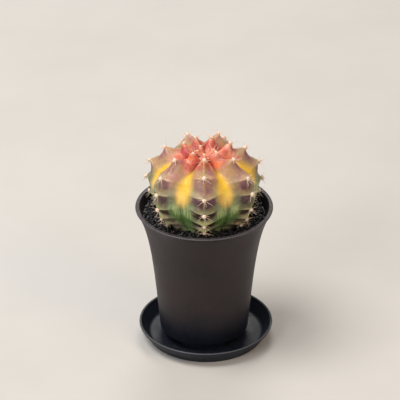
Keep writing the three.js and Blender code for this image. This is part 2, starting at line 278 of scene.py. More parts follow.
# %% Fine grain
def make_fine_grain():
    inputs = {"Coarse scale": 600.0, "Fine scale": 2600.0, "Fine share": 0.4}
    group, given, made = new_group("fine_grain", inputs, ["Height"])
    fine = times(group, cloud(group, given["Vector"], given["Fine scale"]), given["Fine share"])
    coarse = cloud(group, given["Vector"], given["Coarse scale"])
    group.links.new(calculate(group, "ADD", coarse, fine), made["Height"])
    return group


FINE_GRAIN = make_fine_grain()


def grain_height(tree, place, coarse, fine, share):
    scales = {"coarse_scale": coarse, "fine_scale": fine}
    return use_group(tree, FINE_GRAIN, place, **scales, fine_share=share)["Height"]


# %% Mottle and settled dust
def make_mottle():
    group, given, made = new_group("mottle", {"Scale": 120.0, "Low": 0.35, "High": 0.65}, ["Mask"])
    drift = cloud(group, given["Vector"], given["Scale"], 4.0, 0.6)
    group.links.new(remap(group, drift, given["Low"], given["High"]), made["Mask"])
    return group


def make_settled_dust():
    group, given, made = new_group("settled_dust", {"Scale": 900.0, "Amount": 0.3}, ["Mask"])
    normal = add_node(group, "ShaderNodeNewGeometry").outputs["Normal"]
    facing_up = remap(group, height_of(group, normal), 0.1, 0.95, 0.12, 1.0)
    specks = remap(group, cloud(group, given["Vector"], given["Scale"], 5.0, 0.75), 0.5, 0.72)
    lying = times(group, facing_up, specks)
    group.links.new(times(group, lying, given["Amount"]), made["Mask"])
    return group


MOTTLE = make_mottle()
SETTLED_DUST = make_settled_dust()


def mottled(tree, place, scale, low=0.35, high=0.65):
    return use_group(tree, MOTTLE, place, scale=scale, low=low, high=high)["Mask"]


print("shared effects:", [g.name for g in bpy.data.node_groups])

# %% [markdown]
# ## From a bmesh to a piece
#
# All pieces end in the same way. The bmesh, modelled in millimetres, is scaled to metres, written to a
# mesh and linked as an object that stays at the origin. Then it is hung on the body that carries it, it
# gets its material, and the CAD node that it stands for is hidden.

# %% Finish a piece
def kept_mesh(name, bm):
    mesh = bpy.data.meshes.new(name)
    bm.to_mesh(mesh)
    bm.free()
    return mesh


def finish_piece(name, bm, material, node, sharp_angle=180):
    bmesh.ops.scale(bm, vec=(MM, MM, MM), verts=bm.verts)
    mesh = kept_mesh(name, bm)
    for polygon in mesh.polygons:
        polygon.use_smooth = True
    mesh.set_sharp_from_angle(angle=math.radians(sharp_angle))
    mesh.materials.append(material)
    piece = add_object(name, mesh)
    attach(piece, "root")
    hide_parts(node)
    print(f"{name}: {sum(len(p.vertices) - 2 for p in mesh.polygons)} triangles")


# %% [markdown]
# ## The plant's measures
#
# The globe has seven ribs. Each is given by the azimuth of its crest, in degrees from the front and
# turning to the right, and by the polar angles of its areoles, the woolly cushions that spines grow
# from. Curves through a few points give the distance from the globe's middle to a crest and to the
# bottom of a fold. These are the measures that the CAD solid has, so the finer skin keeps its form.

# %% Measures of the globe
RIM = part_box("pot")[1].z / MM  # height of the pot's lip
GLOBE_CENTRE = RIM + 13
MIDDLE = Vector((0, 0, GLOBE_CENTRE))
# The azimuth of each rib's crest, and the polar angles of its areoles
RIBS = {
    0: [11, 31.5, 53.5, 75, 91.5, 106, 118.5],
    53: [18.6, 40.7, 64, 80, 97.3, 111, 122.5],
    104: [12, 30.4, 47.6, 69.6, 88.5, 102.5, 116],
    158: [23, 42.5, 62, 79.5, 95.5, 109.5, 121],
    202: [13, 27, 51, 70.5, 88, 103, 116.5],
    256: [10, 23.8, 45.9, 68.3, 86.6, 102.9, 116],
    307.5: [18.8, 41.5, 63.8, 81, 97.4, 110.5, 121.8],
}
AZIMUTHS = list(RIBS)
AREOLES = list(RIBS.values())
RIB_COUNT = len(RIBS)
FOLD_DEPTHS = [1, 1, 1, 0.55, 1, 1, 1]  # of the fold after each rib, as a share
BURIED_FROM = 126  # polar angle at which the globe goes into the grit
# Distances from the globe's middle to a crest and to the bottom of a fold, by polar angle
CREST = [
    (0, 19.6), (10, 20.9), (18, 23.3), (24, 25.6), (31, 27.4), (41, 29), (50, 30.3),
    (64, 31.9), (78, 32), (90, 31.6), (104, 30.8), (112, 30.3), (126, 28.9),
]
FOLD = [
    (0, 19.6), (15, 19.7), (28, 20.8), (40, 22), (50, 23.8), (64, 26.8),
    (75, 28.8), (87, 29.9), (97, 29.9), (107, 29.3), (118, 28.3), (126, 27.3),
]
# The ledge across the rib at each areole: how high it is, and how many degrees it climbs to the fold
RIDGE = [(0, 0), (10, 0.8), (24, 1.6), (60, 1.9), (100, 1.7), (126, 1.3)]
CLIMB = [(40, -4), (55, -1), (66, 3), (78, 6.5), (92, 9), (106, 11), (126, 11)]
# The buried base and tap root, as radius and depth below the lowest ring of the ribbed skin
ROOT = [(21.5, -3.2), (16.5, -6.8), (10, -10), (6.5, -15), (5, -24), (3, -33), (0, -36)]
BURIED_RADIUS = 30  # of the globe there, with some to spare
BURIED_HEIGHT = GLOBE_CENTRE + BURIED_RADIUS * math.cos(math.radians(BURIED_FROM))
print("lip at", round(RIM, 2), "mm; areoles:", sum(map(len, AREOLES)))


# %% Smooth curves through measured points
def through(points, x):
    """A smooth curve through (x, y) points, held level beyond its ends."""
    if x <= points[0][0]:
        return points[0][1]
    if x >= points[-1][0]:
        return points[-1][1]
    i = max(n for n, point in enumerate(points) if point[0] <= x)

    def slope(a, b):
        return (points[b][1] - points[a][1]) / (points[b][0] - points[a][0])

    step = points[i + 1][0] - points[i][0]
    t = (x - points[i][0]) / step
    leaving = slope(max(i - 1, 0), i + 1) * step
    arriving = slope(i, min(i + 2, len(points) - 1)) * step
    ends = (2 * t**3 - 3 * t**2 + 1) * points[i][1] + (3 * t**2 - 2 * t**3) * points[i + 1][1]
    return ends + (t**3 - 2 * t**2 + t) * leaving + (t**3 - t**2) * arriving


def ease(x, low, high):
    """0 below low, 1 above high, and smooth between them. low may be the greater of the two."""
    t = min(max((x - low) / (high - low), 0), 1)
    return t * t * (3 - 2 * t)


def between(x, low, high, soft):
    """1 from low to high, fading to 0 over soft at either end."""
    return ease(x, low - soft, low + soft) * ease(x, high + soft, high - soft)


def bell(x, width):
    """1 at 0, fading to 0 on both sides over about twice the width."""
    return math.exp(-((x / width) ** 2))


# %% [markdown]
# ## The skin's shape
#
# Places round the globe are counted in rib widths: a whole number is a crest, and half a width further
# is the bottom of a fold. From a place and a polar angle the shape follows: the crest's distance, less
# the fold's depth, plus the ledge that runs across the rib at each areole, plus the cushion under the
# wool. Near the crown the skin is young, and its areoles stand on round knobs. Such a shape could be
# sculpted, but a formula keeps all seven ribs alike and exactly where the CAD has them.

# %% Places round the globe
def rib_at(place):
    """The nearest rib, how far off its crest the place is, 1 being the fold, and 1 if it is after it."""
    rib = math.floor(place + 0.5)
    return rib % RIB_COUNT, min(2 * abs(place - rib), 1), int(place >= rib)


def crest_azimuth(i):
    return AZIMUTHS[i % RIB_COUNT] + 360 * math.floor(i / RIB_COUNT)


def turn_from_crest(place):
    """The degrees from the nearest crest to the place."""
    rib = math.floor(place + 0.5)
    neighbour = rib + (1 if place >= rib else -1)
    return (crest_azimuth(neighbour) - crest_azimuth(rib)) * abs(place - rib)


def azimuth_at(place):
    return crest_azimuth(math.floor(place + 0.5)) + turn_from_crest(place)


def climb_at(polar, off):
    """How many degrees a ledge has climbed at this distance from the crest."""
    return through(CLIMB, polar) * (off - 0.35 * off**2)


def areole_size(polar):
    """The young areoles by the crown are small."""
    return 0.5 + 0.5 * ease(polar, 3, 32)


print("azimuths of the folds:", [round(azimuth_at(rib + 0.5), 1) for rib in range(RIB_COUNT)])

# %% The skin as a formula
FLANK_STRAIGHT = 0.35  # the share of a flank's curve that is straight
SHARP_FLANKS = (34, 18)  # polar angles between which the flanks turn to narrow grooves
VALLEY = 0.3  # the share of a flank that is rounded where the folds are shallow
VALLEY_DEPTH = 0.8
SHALLOW = (47, 88, 8)  # where that is, as polar angles, and how softly it starts and ends
RIDGE_ABOVE = 2.3
RIDGE_BELOW = 3.6
PAD_HEIGHT = 0.9
PAD_RADIUS = 1.5
YOUNG = (46, 26)  # polar angles between which the skin turns from old to young
CREASED = (38, 66)  # and between which the ledges sharpen
KNOB_HEIGHT = 2.2  # more under the young areoles, which stand on round knobs
KNOB_RADIUS = 3.1
KNOB_SHARE = 0.5  # the share of a knob that stands above the young skin, the rest is sunk round it
KNOB_GAP = 1.2  # the dip between two knobs
# How much lower one young areole of these ribs sits: its polar angle and the depth
SUNK = {0: (30, 0.9), 2: (27, 0.4), 4: (26, 1.7), 6: (18, 1.4)}
SUNK_REACH = 8  # in degrees
# The thin raised line along each ledge: its height, how far below the ledge it lies, and its width
LINE_HEIGHT, LINE_AT, LINE_WIDTH = 0.28, -0.5, 0.6
HOLLOW_DEPTH, HOLLOW_AT, HOLLOW_WIDTH = 0.3, 1.5, 1.0  # of the hollow under it
UNEVENNESS = 0.22
BUMPS = 0.5  # of the young skin


def ledge_forms(polar, rib, off, crest, across):
    """The ledge, pad, thin line, hollow and knob of the nearest areoles, and how far off they are."""
    ridge = pad = line = hollow = knob = 0
    nearest = 9
    for areole in AREOLES[rib]:
        below = crest * math.radians(polar + climb_at(polar, off) - areole)
        width = RIDGE_ABOVE if below < 0 else RIDGE_BELOW
        if abs(below) < 4 * width:
            ridge = max(ridge, through(RIDGE, areole) * bell(below, width))
            line = max(line, bell(below - LINE_AT, LINE_WIDTH))
            hollow = max(hollow, bell(below - HOLLOW_AT, HOLLOW_WIDTH))
            nearest = min(nearest, abs(below))
        along = crest * math.radians(polar - areole)
        if abs(along) < 4 * KNOB_RADIUS:
            near = along**2 + across**2
            pad = max(pad, areole_size(areole) * PAD_HEIGHT * math.exp(-near / PAD_RADIUS**2))
            reach = KNOB_RADIUS * (0.45 + 0.55 * areole_size(areole))
            knob = max(knob, math.exp(-((near / reach**2) ** 1.5)))
    return ridge, pad, line, hollow, knob, nearest


def skin_radius(polar, place):
    """How far the skin is from the globe's middle."""
    rib, off, _ = rib_at(place)
    crest = through(CREST, polar)
    depth = FOLD_DEPTHS[math.floor(place) % RIB_COUNT] * (crest - through(FOLD, polar))
    across = crest * math.sin(math.radians(polar)) * math.radians(turn_from_crest(place))
    ridge, pad, line, hollow, knob, nearest = ledge_forms(polar, rib, off, crest, across)
    young = ease(polar, *YOUNG)
    inward = 1 - off**2  # 1 on the crest, 0 in the fold
    flank = FLANK_STRAIGHT * off + (1 - FLANK_STRAIGHT) * off**2
    flank += ease(polar, *SHARP_FLANKS) * (off**2.6 - flank)
    rounded = max(off - 1 + VALLEY, 0) / VALLEY
    flank -= VALLEY_DEPTH * VALLEY * rounded**2 * between(polar, *SHALLOW)
    taper = inward ** (1.6 + ease(polar, 74, 96))
    crease = (LINE_HEIGHT * line - HOLLOW_DEPTH * hollow) * inward**2 * ease(polar, *CREASED)
    gap = KNOB_GAP * young * ease(polar, 6, 14) * ease(nearest, 1.2, 3.6) * inward
    sunk_at, sunk_by = SUNK.get(rib, (0, 0))
    sunk = sunk_by * bell(polar - sunk_at, SUNK_REACH) * inward
    raised = KNOB_HEIGHT * young * ease(polar, 4, 14) * (knob - 1 + KNOB_SHARE)
    return crest - depth * flank + ridge * taper + crease + pad + raised - gap - sunk


def on_globe(radius, place, height):
    """A point this far from the upright axis, on the side where the place is."""
    azimuth = math.radians(azimuth_at(place))
    return Vector((radius * math.sin(azimuth), -radius * math.cos(azimuth), height))


def skin_point(polar, place):
    distance = skin_radius(polar, place)
    lean = math.radians(polar)
    point = on_globe(distance * math.sin(lean), place, GLOBE_CENTRE + distance * math.cos(lean))
    swell = UNEVENNESS * (noise.noise(point * 0.16) + 0.5 * noise.noise(point * 0.45))
    swell += BUMPS * ease(polar, 48, 20) * (noise.noise(point * 0.62) + 0.45 * noise.noise(point * 1.3))
    return point + (point - MIDDLE).normalized() * swell


print("front crest at its widest:", [round(c, 1) for c in skin_point(78, 0)])

# %% [markdown]
# ## The skin's pigments and painted light and shade
#
# The colours of this plant sit in patches that follow its growth. They could be painted on the mesh by
# hand, but here they are masks over the same two coordinates, so that they reach the hidden side too,
# and the material turns the masks into colour. Some of the masks paint light and shade as well. The new
# growth by the crown is coral red, deeper beside the folds, with a pale halo round each young areole.
# Each fold carries a bright yellow streak with a blunt tip and a riper core, a grey-green fringe along
# it and green skin below it, and painted shade along its bottom. Under every ledge a dark wedge lies on
# each side of the crest, deepest beside the wool and shallower towards the fold: it is pigment, darkened
# as painted shade where the skin turns down under the ledge. Just above the next ledge the skin is
# painted paler, as painted light on the ledge's top. Beside the grit the wedges of most ribs fade to
# bare, tan skin. Thin pale lines follow the ledges, partly where the growth paused and partly as a
# painted highlight on their edges. The masks are soft, because living colours run into each other, and
# each wedge has its own strength, reach and depth.

# %% Measures of the pigments and painted light and shade
PIGMENTS_AND_PAINTED_LIGHT = [
    "blush", "yellow", "ripe", "fringe", "green", "wedge_and_shade", "pale", "ledge", "groove", "flush", "halo",
]
# The yellow streak in the fold after each rib: how bright, where it starts and ends as polar angles,
# and how far it reaches to the rib before the fold and to the one after it, in rib widths
STREAKS = [
    (0.96, 37, 90, 0.22, 0.15), (0.8, 35, 86, 0.14, 0.22), (0.85, 40, 93, 0.17, 0.15),
    (0.6, 44, 80, 0.12, 0.13), (0.9, 40, 88, 0.16, 0.18), (0.7, 35, 95, 0.18, 0.12),
    (1.0, 37, 90, 0.15, 0.2),
]
# One value for each rib. First the polar angles at which the red has faded, on the crest and in the
# folds, and at which the flanks begin to turn grey-green
BLUSH_ENDS = [46, 47, 44, 36, 36, 44, 47]
BLUSH_IN_FOLDS = [47, 51, 57, 52, 52, 58, 59]
FRINGE_TOPS = [49, 61, 58, 56, 56, 58, 61]
# Then how deep the red is beside the folds, how strong the wedge under the second areole is, and how
# much of the wedges is lost beside the grit
FLUSHES = [0.4, 0.25, 0.5, 0.8, 0.8, 0.7, 1]
YOUNG_WEDGES = [0.7, 0.5, 0.85, 0.6, 0.6, 0.9, 0.65]
LOW_FADES = [0, 0.45, 0.4, 0.4, 0.4, 0.4, 0.6]
BARE_SHARE = 1.3  # the fringe and the green fade more than the wedges there
BARE = (98, 112)  # polar angles between which they fade
# Last the reach of the wedges under the third areole, and how much it grows with each one below
WEDGE_REACH = [
    (0.52, 0.03), (0.44, 0.13), (0.42, 0.08), (0.45, 0.08), (0.45, 0.08), (0.42, 0.08), (0.4, 0.1),
]
# The pale lines below a ledge, partly growth marks and partly painted highlight: how far down to the next
# ledge they lie, and how strong they are
GROWTH_AND_HIGHLIGHT_LINES = [(-0.01, 1), (0.96, 1), (0.84, 0.35), (0.7, 0.2)]
GROWTH_AND_HIGHLIGHT_LINE_WIDTH = 0.05
AGED = (66, 96)  # polar angles between which the wedges turn deeper and less slanted
HALO_RADIUS = 2.6  # of the pale skin round the young areoles, in millimetres
HALO_GLOBE = 30  # the globe's radius that the halo reckons with
HALO_ACROSS = 50  # degrees from a crest to a fold that it reckons with, to stay narrow
SKIN_END = 134  # a polar angle below all areoles


def draw_wedges():
    """For each rib, ledge and side of the crest: the strength, reach and depth of its wedge of pigment and
    painted shade.
    """
    dice = random.Random(8)

    def wedge(reach):
        return dice.uniform(0.85, 1), reach * dice.uniform(0.9, 1.1), dice.uniform(0.68, 0.88)

    ledges = range(len(AREOLES[0]) + 2)
    return [
        [[wedge(reach + growth * (ledge - 3)) for _ in range(2)] for ledge in ledges]
        for reach, growth in WEDGE_REACH
    ]


WEDGES = draw_wedges()
print("wedges:", sum(len(ledge) for rib in WEDGES for ledge in rib))


# %% Masks of the pigments and painted light and shade
def paint_fold(polar, beside, off, streak, fringe_top):
    """The yellow streak, its ripe core, the grey-green fringe along it and the green under it."""
    bright, top, tip, before, after = streak
    grown = ease(polar, top - 2, top + 34)
    blunt = max(1 - (max(polar - tip + 26, 0) / 29) ** 1.7, 0) ** 0.8
    width = (before if beside < 0 else after) * (0.3 + 0.7 * grown) * (0.1 + 0.9 * blunt)
    side = ease(abs(beside), width * 1.75 + 0.03, width * 0.25)
    length = ease(polar, top - 13, top + 10) * ease(polar, tip + 6, tip - 12)
    core = ease(abs(beside), width, width * 0.1) * length
    green = ease(polar, tip - 16, tip + 8) * ease(off, 0.3, 0.68)
    return {
        "yellow": side * length * bright,
        "ripe": core * ease(polar, top + 4, top + 20),
        "fringe": ease(polar, fringe_top + 8 * ease(off, 0.8, 0.4), fringe_top + 22) * ease(off, 0.22, 0.5),
        "green": max(green, 0.6 * ease(polar, 98, 122) * ease(off, 0.3, 0.6)),
    }


def ledge_phase(polar, rib, off):
    """How far down from one ledge to the next a point is, from 0 to 1, and the ledge's number."""
    level = polar + climb_at(polar, off)
    stops = [0, *AREOLES[rib], SKIN_END]
    i = max(n for n, stop in enumerate(stops) if stop <= max(level, 0))
    if i == len(stops) - 1:
        return 1, i
    return (level - stops[i]) / (stops[i + 1] - stops[i]), i


def paint_ledges(polar, rib, off, side):
    """The wedge of pigment and painted shade under a ledge, the painted light over the next one and the
    lines along it.
    """
    phase, ledge = ledge_phase(polar, rib, off)
    strength, reach, depth = WEDGES[rib][ledge][side]
    low = ease(polar, *AGED)
    bottom = depth * (1 - (0.34 + 0.1 * low) * min(off / reach, 1))
    # the wedge under each ledge: pigment, darkened as painted shade where the skin turns down under the
    # ledge
    wedge_and_shade = ease(phase, bottom + 0.26 - 0.1 * low, bottom - 0.2) * ease(phase, -0.02, 0.03)
    wedge_and_shade *= ease(off, 0.01, 0.09) * ease(off, reach + 0.06, reach - 0.14)
    young = YOUNG_WEDGES[rib] if ledge == 2 else 0.6
    grown = (young + (1 - young) * ease(polar, 60, 78)) * ease(polar, 26, 36)
    # painted light: the skin just above the next ledge faces up and is painted paler
    pale = ease(phase, 0.5, 0.92) * ease(off, 0.2 + 0.35 * phase, 0.02 + 0.1 * phase)
    # pale lines along the ledges: growth marks and a painted highlight on the ledge's edge
    line = max(strong * bell(phase - at, GROWTH_AND_HIGHLIGHT_LINE_WIDTH) for at, strong in GROWTH_AND_HIGHLIGHT_LINES)
    return {
        "wedge_and_shade": wedge_and_shade * strength * grown if ledge > 0 else 0,
        "pale": pale * ease(polar, 50, 84) * (0.3 + 0.7 * ease(polar, 92, 102)),
        "ledge": line * ease(off, 0.6, 0.25) * ease(polar, 34, 58),
    }


def paint_crown(polar, rib, off, yellow):
    """The red of the new growth, its depth beside the folds, the shaded grooves and the halos."""
    end = BLUSH_ENDS[rib] + (BLUSH_IN_FOLDS[rib] - BLUSH_ENDS[rib]) * ease(off, 0.15, 0.85)
    # painted shade along the bottom of each fold
    groove = bell(1 - off, 0.08 + 0.08 * ease(polar, 42, 22))
    across = HALO_GLOBE * math.radians(HALO_ACROSS * off) * math.sin(math.radians(polar))
    near = min((HALO_GLOBE * math.radians(polar - areole)) ** 2 + across**2 for areole in AREOLES[rib])
    return {
        "blush": ease(polar, end + 2, end - 21) * (1 - 0.85 * yellow),
        "flush": FLUSHES[rib] * ease(off, 0.3, 0.85) * between(polar, 16, 44, 8),
        "groove": groove * max(ease(polar, 52, 32), ease(polar, 76, 92)),
        "halo": math.exp(-near / HALO_RADIUS**2) * ease(polar, 50, 32),
    }


def pigments_and_painted_light_at(polar, place):
    rib, off, side = rib_at(place)
    fold = math.floor(place)
    masks = paint_fold(polar, place - fold - 0.5, off, STREAKS[fold % RIB_COUNT], FRINGE_TOPS[rib])
    masks.update(paint_ledges(polar, rib, off, side))
    masks.update(paint_crown(polar, rib, off, masks["yellow"]))
    bare = LOW_FADES[rib] * ease(polar, *BARE)
    masks["wedge_and_shade"] *= 1 - bare
    for name in ("fringe", "green"):
        masks[name] *= 1 - BARE_SHARE * bare * ease(off, 0.95, 0.65)
    return masks


print("pigments in the front fold at 65 degrees:", pigments_and_painted_light_at(65, 0.5))

# %% [markdown]
# ## The skin
#
# A sphere from create_uvsphere already has the right net: closed poles, rings and columns. Its points
# are moved to the formula's surface, ring by ring, and the last rings to the buried base and tap root.
# The columns are closer together at the crests, where the shape turns most. The masks of the pigments
# and of the painted light and shade go into the mesh as attributes, one number at each point, and a map
# of place and polar angle lets a texture run along the ribs. Its seam lies in the fold at the back.

# %% Model the skin
COLUMNS_PER_HALF_RIB = 22
SKIN_RINGS = 232
ROOT_RINGS = 24
CROWDING = 1.35  # above 1, columns crowd towards the crests
BACK = -3.5  # place of the fold at the back, where the columns begin
NECK = 2.5  # how much wider the buried base starts than the root's first radius


def column_places():
    """The place of each column, from the fold at the back right round to it again."""
    half = COLUMNS_PER_HALF_RIB
    first = round(BACK + 0.5)
    return [
        rib + math.copysign(0.5 * (abs(step) / half) ** CROWDING, step)
        for rib in range(first, first + RIB_COUNT)
        for step in range(-half, half)
    ]


def root_point(share, place):
    """A point on the buried base, from the ribbed skin's lowest ring at 0 to the root's tip at 1."""
    neck = skin_point(BURIED_FROM, place)
    depths = [(0, ROOT[0][0] + NECK)] + [(-depth, radius) for radius, depth in ROOT]
    depth = share * depths[-1][0]
    ribbed = ease(depth, -ROOT[0][1], 0)
    radius = through(depths, depth) + ribbed * (neck.xy.length - depths[0][1])
    return on_globe(radius, place, BURIED_HEIGHT - depth + ribbed * (neck.z - BURIED_HEIGHT))


def model_skin():
    places = column_places()
    columns = len(places)
    rings = SKIN_RINGS + ROOT_RINGS
    bm = bmesh.new()
    bmesh.ops.create_uvsphere(bm, u_segments=columns, v_segments=rings, radius=1)
    layers = {name: bm.verts.layers.float.new(name) for name in PIGMENTS_AND_PAINTED_LIGHT}
    places_of = bm.verts.layers.float.new("place")
    polar_of = bm.verts.layers.float.new("polar")
    for vert in bm.verts:
        ring = round(math.acos(min(max(vert.co.z, -1), 1)) / math.pi * rings)
        column = round(math.atan2(vert.co.x, -vert.co.y) / FULL_TURN * columns) % columns
        place = places[column] if 0 < ring < rings else 0
        polar = BURIED_FROM * min(ring / SKIN_RINGS, 1)
        for name, mask in pigments_and_painted_light_at(polar, place).items():
            vert[layers[name]] = mask
        vert[places_of] = place
        vert[polar_of] = polar
        if ring <= SKIN_RINGS:
            vert.co = skin_point(polar, place)
        else:
            vert.co = root_point((ring - SKIN_RINGS) / ROOT_RINGS, place)
        if ring in (0, rings):
            vert.co.xy = (0, 0)
    map_skin(bm, places_of, polar_of)
    bmesh.ops.recalc_face_normals(bm, faces=bm.faces)
    return bm


def map_skin(bm, places_of, polar_of):
    uv = bm.loops.layers.uv.new("rib_map")
    for face in bm.faces:
        seen = [loop.vert[places_of] for loop in face.loops]
        wraps = max(seen) - min(seen) > RIB_COUNT / 2
        for loop in face.loops:
            place = loop.vert[places_of]
            place += RIB_COUNT if wraps and place < 0 else 0
            loop[uv].uv = ((place - BACK) / RIB_COUNT, loop.vert[polar_of] / 180)
    bm.verts.layers.float.remove(places_of)


skin_bm = model_skin()
SKIN_TREE = BVHTree.FromBMesh(skin_bm)
print("skin points:", len(skin_bm.verts))

# %% [markdown]
# ## The skin's colours
#
# The skin is waxy and a little see-through, so light goes a short way into it and the shader gets some
# subsurface. The masks only say where each pigment, and each painted light or shade, is. The material
# roughens their borders, lets the colours drift inside them, and draws the fine streaks that run down
# the folds, from a noise that is stretched along the ribs. Most colours darken from the crown to the
# grit, so they are pairs that change with the polar angle.

# %% Colours of the skin
FLESH = {
    "upper": (0.45, 0.275, 0.12),
    "beige": (0.33, 0.25, 0.14),
    "lower": (0.11, 0.092, 0.05),
    "lilac": (0.38, 0.145, 0.165),
    "plum": (0.25, 0.095, 0.14),
    "rose": (0.60, 0.25, 0.19),
    "mauve": (0.15, 0.045, 0.095),
    # the darkest wedge colour, under the low ledges: pigment and painted shade
    "dusk_and_shade": (0.028, 0.009, 0.012),
    "fringe_upper": (0.28, 0.28, 0.135),
    "fringe_lower": (0.12, 0.14, 0.07),
    # painted light on the tops of the ledges
    "ledge_light_upper": (0.50, 0.38, 0.22),
    "ledge_light_lower": (0.42, 0.45, 0.17),
    # the pale lines along the ledges: growth marks and painted highlight
    "line_and_highlight_upper": (0.66, 0.50, 0.32),
    "line_and_highlight_lower": (0.50, 0.52, 0.25),
    "green": (0.40, 0.48, 0.2),
    "deep_green": (0.095, 0.19, 0.042),
    "low_green": (0.42, 0.56, 0.24),
    "base": (0.74, 0.57, 0.38),
    "yellow": (0.80, 0.50, 0.10),
    "ripe": (0.86, 0.53, 0.03),
    "cream": (0.88, 0.60, 0.17),
    "orange": (0.62, 0.34, 0.04),
    "rust": (0.34, 0.095, 0.055),
    "coral": (0.80, 0.205, 0.07),
    "red": (0.56, 0.05, 0.022),
    "pink": (0.86, 0.40, 0.33),
    "magenta": (0.52, 0.11, 0.12),
    "olive": (0.44, 0.25, 0.12),
    "halo": (0.84, 0.47, 0.28),
    # painted shade in the bottoms of the folds, red-brown by the crown and green lower down
    "crease": (0.20, 0.028, 0.016),
    "shaded_green": (0.05, 0.10, 0.025),
}
STREAK_STRETCH = (420, 9, 1)


def make_skin_material():
    material, tree, place = new_material("cactus_skin")
    polar = attribute(tree, "polar")
    ribs = add_node(tree, "ShaderNodeUVMap", uv_map="rib_map").outputs["UV"]
    stretched = add_node(tree, "ShaderNodeMapping", {"Vector": ribs, "Scale": STREAK_STRETCH})
    fibres = cloud(tree, stretched.outputs["Vector"], 1.0, 3.0)

    def painted(name, scale, amount):
        return rough_edged(tree, place, attribute(tree, name), scale, amount)

    def drift(scale, low=0.35, high=0.65):
        return mottled(tree, place, scale, low, high)

    def by_age(low, high, young=0, old=1):
        return remap(tree, polar, low, high, young, old)

    def tone(colour):
        return FLESH[colour] if isinstance(colour, str) else colour

    def aged(low, high, young, old):
        """A colour that turns into another between two polar angles."""
        return blend(tree, by_age(low, high), tone(young), tone(old))

    def laid(colour, *layers):
        return layered(tree, tone(colour), *((mask, share, tone(over)) for mask, share, over in layers))

    # the wedges' colour: pigment deepened by painted shade, darkest under the low ledges
    wedge_colour_and_shade = aged(66, 94, aged(58, 72, aged(40, 50, "rust", "plum"), "mauve"), "dusk_and_shade")
    deep = remap(tree, calculate(tree, "ADD", fibres, by_age(88, 110, -0.12, 0.2)), 0.37, 0.6)
    leafy = laid("green", (deep, 1, "deep_green"), (by_age(104, 120, 0, 0.8), 1, "low_green"))
    coral = laid(
        "coral",
        (drift(150, 0.4, 0.59), 1, "pink"),
        (drift(95, 0.48, 0.6), 1, "magenta"),
        (drift(130, 0.46, 0.68), 0.8, "red"),
        (drift(180, 0.6, 0.7), 0.5, "olive"),
        (painted("flush", 200, 0.8), 0.6, "red"),
    )
    flesh = laid(
        aged(55, 92, "upper", "lower"),
        (drift(70, 0.4, 0.6), by_age(30, 46, 0, 0.7), aged(60, 92, "beige", "lower")),
        (drift(110, 0.44, 0.62), by_age(88, 40, 0, 0.85), "lilac"),
        (drift(85, 0.46, 0.6), by_age(76, 50, 0, 0.24), "rose"),
        (remap(tree, drift(200), 0, 1, 0.3, 1), by_age(98, 114), "base"),
        (painted("fringe", 300, 0.8), 0.8, aged(62, 92, "fringe_upper", "fringe_lower")),
        # wedges of pigment and painted shade under the ledges
        (painted("wedge_and_shade", 420, 0.8), remap(tree, drift(260), 0, 1, 0.85, 1), wedge_colour_and_shade),
        # painted light on the tops of the ledges
        (painted("pale", 450, 0.5), 0.75, aged(62, 94, "ledge_light_upper", "ledge_light_lower")),
        (painted("green", 420, 0.6), 1, leafy),
        # pale lines along the ledges: growth marks and painted highlight
        (painted("ledge", 500, 0.9), 0.6, aged(62, 94, "line_and_highlight_upper", "line_and_highlight_lower")),
        (drift(620, 0.54, 0.7), 0.2, "pink"),
        (drift(480, 0.56, 0.72), 0.22, "fringe_lower"),
        (painted("yellow", 380, 0.5), 1, aged(40, 62, "orange", "yellow")),
        (painted("ripe", 500, 0.5), remap(tree, fibres, 0.3, 0.7, 1, 0.7), aged(66, 84, "ripe", "cream")),
        (painted("blush", 150, 0.7), 1, coral),
        (painted("halo", 500, 0.6), 0.7, "halo"),
        # painted shade along the bottoms of the folds
        (attribute(tree, "groove"), 0.75, aged(50, 78, "crease", "shaded_green")),
    )
    speckle = remap(tree, cloud(tree, place, 1500.0), 0.3, 0.7, 0.9, 1.06)
    shades = add_node(tree, "ShaderNodeCombineXYZ", dict.fromkeys("XYZ", speckle)).outputs["Vector"]
    set_shader(
        tree,
        base_color=blend(tree, 1.0, flesh, shades, "MULTIPLY"),
        roughness=remap(tree, drift(300), 0, 1, 0.38, 0.52),
        normal=relief(tree, grain_height(tree, place, 700.0, 2600.0, 0.35), 0.3, 0.00025),
        subsurface_weight=0.14,
        subsurface_radius=(1.0, 0.42, 0.2),
        subsurface_scale=0.0018,
        specular_ior_level=0.42,
    )
    return material


finish_piece("cactus_skin", skin_bm, make_skin_material(), "cactus")

# %% [markdown]
# ## Wool
#
# Each areole is a round cushion of dense, creamy wool. Hair curves would be lost on export, so it is
# real mesh: a felted core from an icosphere, and round it short fibres, each a three-sided cone. Three
# tufts are made once, and copied to every areole with another turn and size.

# %% Seats of the areoles
def areole_seats():
    """For each areole: its place, the way it faces, down and across the rib, its size and polar angle."""
    seats = []
    for rib, areoles in enumerate(AREOLES):
        azimuth = math.radians(AZIMUTHS[rib])
        across = Vector((math.cos(azimuth), math.sin(azimuth), 0))
        for polar in areoles:
            middle = skin_point(polar, rib)
            facing = (middle - MIDDLE).normalized()
            seats.append({
                "middle": middle, "facing": facing, "across": across, "down": across.cross(facing),
                "size": areole_size(polar), "polar": polar,
            })
    return seats


SEATS = areole_seats()


def turn_to(direction):
    """The rotation that takes +Z to a direction."""
    return direction.to_track_quat("Z", "Y").to_matrix().to_4x4()


def any_turn(dice):
    return Matrix.Rotation(dice.uniform(0, FULL_TURN), 4, "Z")


def add_copy(bm, model, matrix):
    """Adds a model, kept as a mesh, to a bmesh, and gives back the new points."""
    before = len(bm.verts)
    bm.from_mesh(model)
    bm.verts.ensure_lookup_table()
    added = bm.verts[before:]
    bmesh.ops.transform(bm, matrix=matrix, verts=added)
    return added


print("areoles:", len(SEATS))

